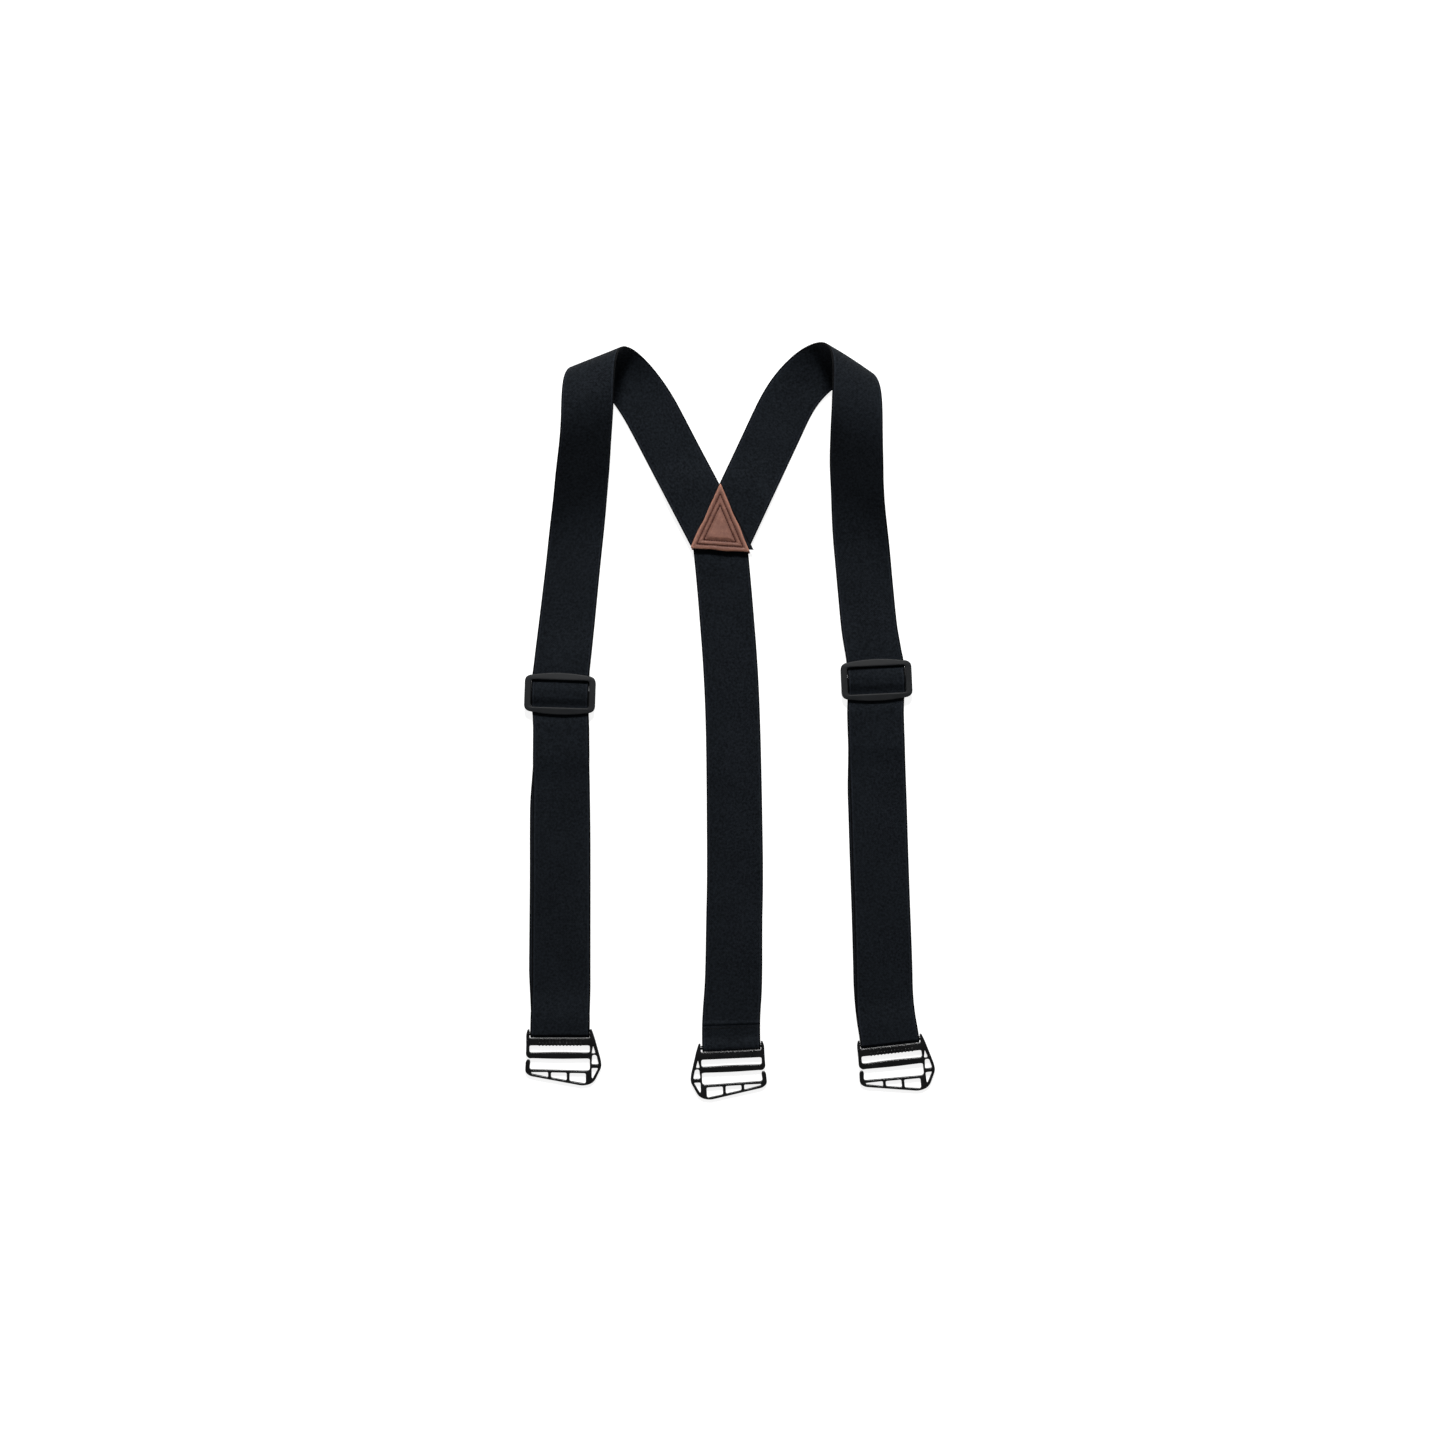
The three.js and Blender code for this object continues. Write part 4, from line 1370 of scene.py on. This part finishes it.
    def blend_lower(self, piece: bpy.types.Object, lower: Route) -> None:
        """Bakes a piece's placement into its mesh; two points on the doubled length between the slider and
        the hook's fold are worked out but not used.

        Args:
            piece: The piece.
            lower: The route from the slider down to the hook.
        """
        x, y = lower.at(np.array([self.seam + 3.0, self.lower_length - 8.0]), np.zeros(2))
        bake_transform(piece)

    def adjuster_path(self) -> tuple[Array, Array, Array]:
        """Draws the doubled length from the side: down, round the hook's bar, back, over the slider's bar.

        Returns:
            Distance down from the slider, height of the middle surface, and shift to the right, in mm.
        """
        length, half = self.lower_length, LEVELS.thickness / 2
        hook_radius = LEVELS.hook_fold - half
        slider_radius = LEVELS.slider_fold - half
        front = np.concatenate([np.arange(self.seam + 0.2, 40.0, 1.2), np.linspace(40.0, length, 90)])
        top = 2 * LEVELS.hook_fold - LEVELS.thickness - LEVELS.layer
        over_tab = LEVELS.under_bar + self.over_tab
        lift = LEVELS.under_bar + self.over_tab * smooth((front - self.settle_at) / 5.0)
        lift = lift - (over_tab - LEVELS.layer) * smooth((front - self.tab - 1.0) / self.tab_drop)
        lift = lift + top * smooth((front - length + self.hook_rise + self.hook_level) / self.hook_rise)
        free = smooth((front - 70) / 20) * (1 - smooth((front - length + 70) / 30))
        lift = lift + 0.12 * ripple(front, front * 0, 0.7) * free
        turn = np.linspace(0.0, math.pi, 26)[1:-1]
        back = np.linspace(length, 0.0, 110)
        bulge = self.back_shift * smooth((length - back - 6.0) / 40.0) * smooth((back - self.tab) / 40.0)
        tab = np.concatenate([np.linspace(0.0, 9.0, 10)[1:], np.linspace(9.0, self.tab, 20)[1:]])
        tab_top = 2 * LEVELS.slider_fold - half
        tab_level = tab_top - (tab_top - LEVELS.layer - half) * smooth(tab / self.tab_dip)
        hook_turn = length + hook_radius * np.sin(turn)
        down = np.concatenate([front, hook_turn, back, -slider_radius * np.sin(turn), [0.0], tab])
        height = np.concatenate(
            [
                lift + half,
                LEVELS.hook_fold + hook_radius * np.cos(turn),
                np.full_like(back, half),
                LEVELS.slider_fold - slider_radius * np.cos(turn),
                [LEVELS.slider_fold + slider_radius],
                tab_level,
            ]
        )
        shift = np.zeros_like(down)
        shift[len(front) + len(turn) : len(front) + len(turn) + len(back)] = bulge
        return down, height, shift

    def adjuster_webbing(self, finishes: Finishes) -> None:
        """Makes the doubled length as one strip carried along its side view.

        Args:
            finishes: The materials.
        """
        _, lower = self.routes()
        down, height, shift = self.adjuster_path()
        run, tangent = side_view_run(down, height)

        def place(s: Array, t: Array, n: Array) -> Array:
            """Carries the strip along its side view and spreads it over its route.

            It is moved up by n where it runs level. The level part of that move has the same sign as the
            strip's own rise, so the strip is thin where it slants steeply round a bar.

            Args:
                s: Length along in mm.
                t: Distance right in mm.
                n: Distance above the middle surface in mm.
            Returns:
                Points, with x, y and z along the last axis.
            """
            d = np.interp(s, run, down) + n * np.interp(s, run, tangent[1])
            z = np.interp(s, run, height) + n * np.interp(s, run, tangent[0])
            middle = np.interp(s, run, down)
            t = t * along_knots(middle, self.lower_width) / LEVELS.width
            x, y = lower.at(d, t + np.interp(s, run, shift) + along_knots(middle, self.lower_shift))
            return np.stack([x, y, z], axis=-1)

        parts = WebbingSection().sweep(place, 0.0, run[-1], run / run[-1])
        piece = parts.build(f"{self.side}_adjuster_webbing")
        stands_for = ("lower_front_layer", "lower_back_layer", "hook_fold", "slider_end_fold")
        dress(piece, finishes.webbing, [f"{self.side}_{part}" for part in stands_for])
        self.blend_lower(piece, lower)

    def tab_stitches(self, finishes: Finishes) -> None:
        """Makes the box of stitches that holds the turned-over end.

        Args:
            finishes: The materials.
        """
        _, lower = self.routes()
        low, high = self.tab - 4.0, 21.0
        half = LEVELS.width / 2 - 4.0
        box = np.array([(-half, high), (half, high), (half, low), (-half, low), (-half, high)])
        t, d, angle = stitch_run(box, 2.4)
        x, y = lower.at(d, t)
        heading = lower.heading(d)
        level = LEVELS.layer + LEVELS.thickness + 0.18
        piece = stitch_piece(f"{self.side}_tab_stitches", x, y, level, angle - heading, (0.85, 0.3, 0.26))
        dress(piece, finishes.black_thread, [f"{self.side}_slider_end_stitching"])
        self.blend_lower(piece, lower)

    def build(self, patch: "BackPatch", finishes: Finishes) -> None:
        """Builds the side in order.

        Args:
            patch: The patch.
            finishes: The materials.
        """
        _, lower = self.routes()
        end = np.array([self.lower_length])
        x, y = lower.at(end, np.zeros(1))
        Slider(
            f"{self.side}_adjuster", f"{self.side}_slider_unit", f"{self.side}_slider",
            self.slider_at, self.slider_heading,
        ).build(finishes)
        BeltHook(
            f"{self.side}_belt_hook", f"{self.side}_hook_unit", f"{self.side}_hook",
            (float(x[0]), float(y[0])), math.degrees(float(lower.heading(end)[0])), False,
        ).build(finishes)
        self.shoulder_webbing(patch, finishes)
        self.adjuster_webbing(finishes)
        self.tab_stitches(finishes)


def stitch_run(outline: Array, pitch: float) -> tuple[Array, Array, Array]:
    """Evenly spaced stitches along an open or closed outline.

    Args:
        outline: Points, n by 2.
        pitch: Distance from stitch to stitch.
    Returns:
        Each stitch's two coordinates and its angle.
    """
    legs = np.diff(outline, axis=0)
    lengths = np.hypot(legs[:, 0], legs[:, 1])
    run = np.concatenate([[0.0], np.cumsum(lengths)])
    count = max(2, round(run[-1] / pitch))
    where = (np.arange(count) + 0.5) / count * run[-1]
    leg = np.clip(np.searchsorted(run, where) - 1, 0, len(legs) - 1)
    share = (where - run[leg]) / lengths[leg]
    points = outline[leg] + legs[leg] * share[:, None]
    return points[:, 0], points[:, 1], np.arctan2(legs[leg, 1], legs[leg, 0])


# ---------------------------------------------------------------- back patch


@dataclass(frozen=True)
class BackPatch:
    """The leather triangle where the three straps meet: its base lies across the back strap."""

    at: tuple[float, float] = (-5.6, 118.0)
    turn: float = -3.8
    overhang: float = 2.05
    height: float = 46.9
    lean: float = -2.8
    hem: float = 3.1
    inner: float = 6.35
    corner: float = 1.6
    groove_half: float = 0.45
    edge_roll: float = 0.7

    def down(self) -> Array:
        """The unit direction square to the base, away from the point."""
        turn = math.radians(self.turn)
        return np.array([math.sin(turn), -math.cos(turn)])

    def corners(self) -> Array:
        """Places the triangle.

        Returns:
            Its point, its left corner and its right corner, 3 by 2.
        """
        half = LEVELS.width / 2 + self.overhang
        local = np.array([(self.lean, self.height), (-half, 0.0), (half, 0.0)])
        turn = math.radians(self.turn)
        spin = np.array([[math.cos(turn), math.sin(turn)], [-math.sin(turn), math.cos(turn)]])
        return local @ spin + np.array(self.at)

    def centre(self) -> tuple[Array, float]:
        """Finds the largest circle inside the triangle.

        Returns:
            Its centre and its radius.
        """
        corners = self.corners()
        far = np.linalg.norm(np.roll(corners, -1, axis=0) - np.roll(corners, 1, axis=0), axis=1)
        middle = (corners * far[:, None]).sum(axis=0) / far.sum()
        a, b = corners[1] - corners[0], corners[2] - corners[0]
        return middle, abs(a[0] * b[1] - a[1] * b[0]) / far.sum()

    def leather(
        self, name: str, node: str, bottom: float, puff: float, finishes: Finishes, shift: tuple[float, float]
    ) -> None:
        """Makes a leather triangle on a polar grid: each ring is the outline drawn in towards the middle.

        Moving in by a share moves every side in by the same distance, so the sewn rows are rings. The height
        is a crown between each two rows, less a narrow bell at each row, with a rounded rim.

        Args:
            name: The piece's name.
            node: The node it stands for.
            bottom: Height of its underside.
            puff: How much it swells between the rows.
            finishes: The materials.
            shift: How far it is out of line.
        """
        middle, radius = self.centre()
        outline = rounded_outline([(*corner, self.corner) for corner in self.corners()], 10)
        closed = np.vstack([outline, outline[:1]])
        run = np.concatenate([[0.0], np.cumsum(np.linalg.norm(np.diff(closed, axis=0), axis=1))])
        around = 300
        where = np.arange(around) / around * run[-1]
        rim = np.stack([np.interp(where, run, closed[:, 0]), np.interp(where, run, closed[:, 1])], axis=-1)
        inset = np.concatenate([np.linspace(0.0, 1.0, 8) ** 1.5, np.linspace(1.0, radius * 0.98, 58)[1:]])
        share = 1 - inset / radius
        flat = middle + (rim - middle)[None, :, :] * share[:, None, None]
        edge_wave = 0.22 * np.sin(where / 5.3) + 0.16 * np.sin(where / 2.9 + 1.0)
        outward = (rim - middle) / np.linalg.norm(rim - middle, axis=1, keepdims=True)
        flat = flat + outward[None] * (edge_wave[None, :] * share[:, None] ** 6)[..., None]
        rows = (self.hem, self.inner)
        crown = np.where(
            inset < rows[0],
            np.sin(math.pi * np.clip(inset / rows[0], 0, 1)) * 0.55,
            np.where(
                inset < rows[1],
                np.sin(math.pi * np.clip((inset - rows[0]) / (rows[1] - rows[0]), 0, 1)) * 0.7,
                smooth((inset - rows[1]) / 3.0) * 1.0,
            ),
        )
        groove = sum(np.exp(-(((inset - row) / self.groove_half) ** 2)) for row in rows)
        roll_off = np.sqrt(np.clip(1 - (1 - np.clip(inset / self.edge_roll, 0, 1)) ** 2, 0, 1))
        top = LEVELS.leather * (0.35 + 0.65 * roll_off) + puff * (crown - 0.32 * groove)
        x, y = flat[..., 0] + shift[0], flat[..., 1] + shift[1]
        crease = 0.09 * ripple(x * 5.0, y * 5.0, 2.2) + 0.06 * ripple(x * 11.0, y * 9.0, 0.4)
        upper = np.stack([x, y, bottom + top[:, None] + puff * crease * roll_off[:, None]], axis=-1)
        low = bottom + LEVELS.leather * 0.3 * (1 - roll_off)
        lower = np.stack([x, y, np.broadcast_to(low[:, None], x.shape)], axis=-1)
        # High on the rubbed rim, a little higher on the puffed crowns, and low in the sewn grooves for their
        # painted shade.
        wear_and_shading = 0.5 + 0.5 * np.exp(-((inset / 0.9) ** 2)) - 0.42 * groove + 0.12 * crown
        wear_and_shading = np.broadcast_to(np.clip(wear_and_shading, 0, 1)[:, None], x.shape)
        count = len(inset) * around
        grid = grid_faces(len(inset), around, True)
        first = np.arange(around)
        after = np.roll(first, -1)
        side = np.column_stack([after, first, first + count, after + count])
        hub = np.full(around, 2 * count)
        last = first + (len(inset) - 1) * around
        last_after = np.roll(last, -1)
        close = np.column_stack([last, last_after, hub, hub])
        close_low = np.column_stack([last_after + count, last + count, hub + 1, hub + 1])
        hub_x, hub_y = middle + np.array(shift)
        hubs = np.array([[hub_x, hub_y, upper[-1, :, 2].mean()], [hub_x, hub_y, bottom]])
        points = np.concatenate([upper.reshape(-1, 3), lower.reshape(-1, 3), hubs])
        faces = np.concatenate([grid, grid[:, ::-1] + count, side, close, close_low])
        parts = Parts()
        parts.add(points, faces, None, np.concatenate([wear_and_shading.ravel(), wear_and_shading.ravel(), [0.6, 0.6]]))
        piece = parts.build(name, 60.0)
        dress(piece, finishes.leather, [node])
        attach(piece, "patch_and_arms")
        size = np.ptp(outline, axis=0)
        flat = (float(size[0]) * MM, float(size[1]) * MM)

    def inset_loop(self, distance: float) -> Array:
        """Draws the triangle in.

        Args:
            distance: How far every side moves in, in mm.
        Returns:
            Its corners, with the first again at the end.
        """
        middle, radius = self.centre()
        ring = middle + (self.corners() - middle) * (1 - distance / radius)
        return np.vstack([ring, ring[:1]])

    def stitches(self, name: str, node: str, distance: float, extra: bool, finishes: Finishes) -> None:
        """Makes a row of stitches in its groove, with back-stitches at the corners.

        Args:
            name: The piece's name.
            node: The node it stands for.
            distance: How far inside the edge the row is.
            extra: True to sew part of the base twice.
            finishes: The materials.
        """
        loop = self.inset_loop(distance)
        x, y, angle = stitch_run(loop, 1.75)
        if extra:
            base = self.inset_loop(distance - 0.9)[1:3]
            again = base[0] + (base[1] - base[0]) * np.array([[0.38], [0.98]])
            more = stitch_run(again, 1.5)
            x, y, angle = (np.concatenate(pair) for pair in zip((x, y, angle), more))
        knots = loop[:3] + (self.centre()[0] - loop[:3]) * 0.02
        for corner in range(3):
            knot = stitch_run(np.array([knots[corner] - [0.9, 0.2], knots[corner] + [0.9, 0.3]]), 0.6)
            x, y, angle = (np.concatenate(pair) for pair in zip((x, y, angle), knot))
        level = LEVELS.in_patch(4) + LEVELS.leather - 0.08
        piece = stitch_piece(name, x, y, level, angle, (0.62, 0.27, 0.24))
        dress(piece, finishes.leather_thread, [node])
        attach(piece, "patch_and_arms")

    def build(self, finishes: Finishes) -> None:
        """Builds the patch's two leathers and their stitching.

        Args:
            finishes: The materials.
        """
        self.leather("patch_under_leather", "outer_leather", 0.0, 0.0, finishes, (0.5, -0.8))
        self.leather("patch_top_leather", "inner_leather", LEVELS.in_patch(4), 1.0, finishes, (0.0, 0.0))
        self.stitches("patch_hem_stitches", "patch_outer_stitching", self.hem, False, finishes)
        self.stitches("patch_heart_stitches", "patch_inner_stitching", self.inner, True, finishes)


# ---------------------------------------------------------------- back strap


@dataclass(frozen=True)
class BackStrap:
    """The single strap from the patch down to the third hook, with its sewn tail."""

    heading: float = -6.0
    bends: tuple[Bend, ...] = (Bend(7, 150, 5), Bend(147, 150, 3.3), Bend(309, 30, -4.9))
    length: float = 347.0
    end_across: float = -0.4
    cover: float = 25.5
    tail: float = 14.4
    tail_dip: float = 7.6
    ridge: float = 16.3
    ridge_half: float = 1.1
    settle_at: float = 4.0
    settle_over: float = 24.0
    widths: tuple[tuple[float, float], ...] = ((0, 38.2), (100, 38.4), (250, 39.6), (347, 41.0))
    shifts: tuple[tuple[float, float], ...] = (
        (0, 0.9), (60, 0.35), (180, 0.3), (250, 0.9), (305, 2.0), (347, 0.4)
    )

    def route(self, patch: BackPatch) -> Route:
        """The route from the base of the patch down to the hook's bar."""
        return Route((patch.at[0] + self.end_across, patch.at[1]), self.heading, self.bends, self.length, -1)

    def path(self) -> tuple[Array, Array]:
        """The side view: out of the patch, along the floor and over the tail's ridge, round the bar and back.

        Returns:
            Distance down from the patch and height of the middle surface, in mm.
        """
        half = LEVELS.thickness / 2
        radius = LEVELS.hook_fold - half
        fine = self.length - self.ridge - 5.0
        down = np.concatenate([np.linspace(-self.cover, 40.0, 44), np.linspace(40.0, fine, 130)[1:]])
        down = np.concatenate([down, np.linspace(fine, self.length, 44)[1:]])
        level = half + LEVELS.in_patch(1) * (1 - smooth((down - self.settle_at) / self.settle_over))
        level = level + np.exp(-(((self.length - self.ridge - down) / self.ridge_half) ** 2))
        turn = np.linspace(0.0, math.pi, 26)[1:]
        back = np.linspace(0.0, self.tail, 26)[1:]
        top = 2 * LEVELS.hook_fold - half
        low = LEVELS.layer + half
        tail = top - (top - low) * smooth(back / self.tail_dip)
        return (
            np.concatenate([down, self.length + radius * np.sin(turn), self.length - back]),
            np.concatenate([level, LEVELS.hook_fold - radius * np.cos(turn), tail]),
        )

    def build(self, patch: BackPatch, finishes: Finishes) -> None:
        """Builds the webbing, its hem stitches and the hook.

        Args:
            patch: The patch.
            finishes: The materials.
        """
        route = self.route(patch)
        down, height = self.path()
        run, tangent = side_view_run(down, height)

        def place(s: Array, t: Array, n: Array) -> Array:
            """Carries the strap along its side view, moved by n along the side view's normal.

            Args:
                s: Length along in mm.
                t: Distance right in mm.
                n: Distance above the middle surface in mm.
            Returns:
                Points, with x, y and z along the last axis.
            """
            d = np.interp(s, run, down) - n * np.interp(s, run, tangent[1])
            z = np.interp(s, run, height) + n * np.interp(s, run, tangent[0])
            middle = np.interp(s, run, down)
            t = t * along_knots(middle, self.widths) / LEVELS.width
            x, y = route.at(d, t + along_knots(middle, self.shifts))
            return np.stack([x, y, z], axis=-1)

        parts = WebbingSection().sweep(place, 0.0, run[-1], run / run[-1])
        piece = parts.build("back_webbing")
        dress(piece, finishes.webbing, ["back_strap", "back_hook_fold"])
        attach(piece, "patch_and_arms")
        t = np.arange(-LEVELS.width / 2 + 1.6, LEVELS.width / 2 - 1.0, 2.3)
        d = np.full_like(t, self.length - self.tail + 1.3)
        x, y = route.at(d, t)
        level = LEVELS.layer + LEVELS.thickness + 0.02
        stitches = stitch_piece("back_hem_stitches", x, y, level, -route.heading(d), (0.85, 0.3, 0.28))
        dress(stitches, finishes.black_thread, ["back_hem_stitching"])
        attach(stitches, "patch_and_arms")
        end = np.array([self.length])
        x, y = route.at(end, np.zeros(1))
        BeltHook(
            "back_belt_hook", "back_hook_unit", "back_hook",
            (float(x[0]), float(y[0])), math.degrees(float(route.heading(end)[0])), True,
        ).build(finishes)


# ---------------------------------------------------------------- the studio


@dataclass(frozen=True)
class Studio:
    """White floor, a lamp behind the shoulder loops, a softer one each side, and a camera straight above."""

    centre: tuple[float, float] = (-0.00385, -0.0021)
    height: float = 1.8
    view: float = 1.0115
    sensor: float = 36.0

    def build(self, finishes: Finishes) -> None:
        """Sets the floor, the lights and the camera.

        Args:
            finishes: The materials.
        """
        mesh = bpy.data.meshes.new("floor")
        side = 6.0
        corners = [(-side, -side, 0), (side, -side, 0), (side, side, 0), (-side, side, 0)]
        mesh.from_pydata(corners, [], [(0, 1, 2, 3)])
        floor = bpy.data.objects.new("floor", mesh)
        floor.location.z = -0.0001
        bpy.context.scene.collection.objects.link(floor)
        mesh.materials.append(finishes.floor)
        world = bpy.data.worlds.new("studio")
        world.use_nodes = True
        background = world.node_tree.nodes["Background"]
        background.inputs[0].default_value = (1.0, 1.0, 1.0, 1.0)
        background.inputs[1].default_value = 0.10
        bpy.context.scene.world = world
        lamps = (
            ("key", (0.0, 1.5, 1.6), 0.35, 68.0),
            ("side", (1.7, 0.3, 0.8), 0.8, 3.5),
            ("fill", (-1.7, 0.3, 0.8), 0.8, 3.5),
        )
        for name, place, size, power in lamps:
            data = bpy.data.lights.new(name, "AREA")
            data.size = size
            data.energy = power
            lamp = bpy.data.objects.new(name, data)
            lamp.location = place
            x, y, z = place
            lamp.rotation_euler = (math.atan2(math.hypot(x, y), z), 0, math.atan2(x, -y))
            bpy.context.scene.collection.objects.link(lamp)
        bpy.context.scene.view_settings.view_transform = "Standard"
        data = bpy.data.cameras.new("camera")
        data.sensor_width = self.sensor
        data.lens = self.sensor * self.height / self.view
        camera = bpy.data.objects.new("camera", data)
        camera.location = (*self.centre, self.height)
        bpy.context.scene.collection.objects.link(camera)
        bpy.context.scene.camera = camera


def sides() -> list[FrontStrap]:
    """The two front straps as they lie.

    Returns:
        The left strap, then the right strap.
    """
    return [
        FrontStrap(
            Hand.LEFT, (-117.3, 17.9), 1.8,
            (Bend(2, 18, 4.4), Bend(107, 50, -4.4), Bend(275, 60, -17.9)), (Bend(2, 20, -1.8),), 237.3,
            (-88.1, 250.2), 21.8, 0.0, 228.0, 3, -2.0,
            (
                (-15, 40.4), (8, 40.4), (20, 39.6), (104, 38.2),
                (150, 38.2), (205, 35.8), (260, 35.8), (330, 38.0),
            ),
            ((0, 0.0),),
            ((9, 40.4), (15, 39.3), (110, 40.8), (237, 41.5)),
            ((0, 0.0), (26, 1.1), (120, 1.3), (200, 1.0), (237, 0.3)),
        ),
        FrontStrap(
            Hand.RIGHT, (103.6, 27.6), -2.6,
            (Bend(0, 16, -4.6), Bend(20, 30, 1.9), Bend(91, 50, 6.5), Bend(265, 60, 30.6)),
            (Bend(2, 20, 1), Bend(205, 40, -4.8)), 252.8,
            (73.0, 254.3), 28.4, 8.0, 218.0, 2, -1.6,
            (
                (-15, 40.4), (8, 40.4), (20, 39.4), (90, 39.2),
                (150, 38.2), (205, 35.0), (260, 35.4), (330, 38.0),
            ),
            ((10, 0.0), (40, -1.0), (140, -1.0), (200, 1.0), (300, -1.0)),
            ((9, 40.4), (15, 39.7), (150, 39.6), (210, 40.0), (250, 41.4)),
            ((0, 0.0), (25, -1.4), (100, -0.9), (200, -0.4), (235, -0.8), (252, -0.2)),
        ),
    ]


def main() -> None:
    """Builds the sub-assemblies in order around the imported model."""
    logging.basicConfig(level=logging.INFO, format="%(message)s")
    finishes = Finishes()
    Studio().build(finishes)
    patch = BackPatch()
    for side in sides():
        side.build(patch, finishes)
    BackStrap().build(patch, finishes)
    patch.build(finishes)


if __name__ == "__main__":
    main()
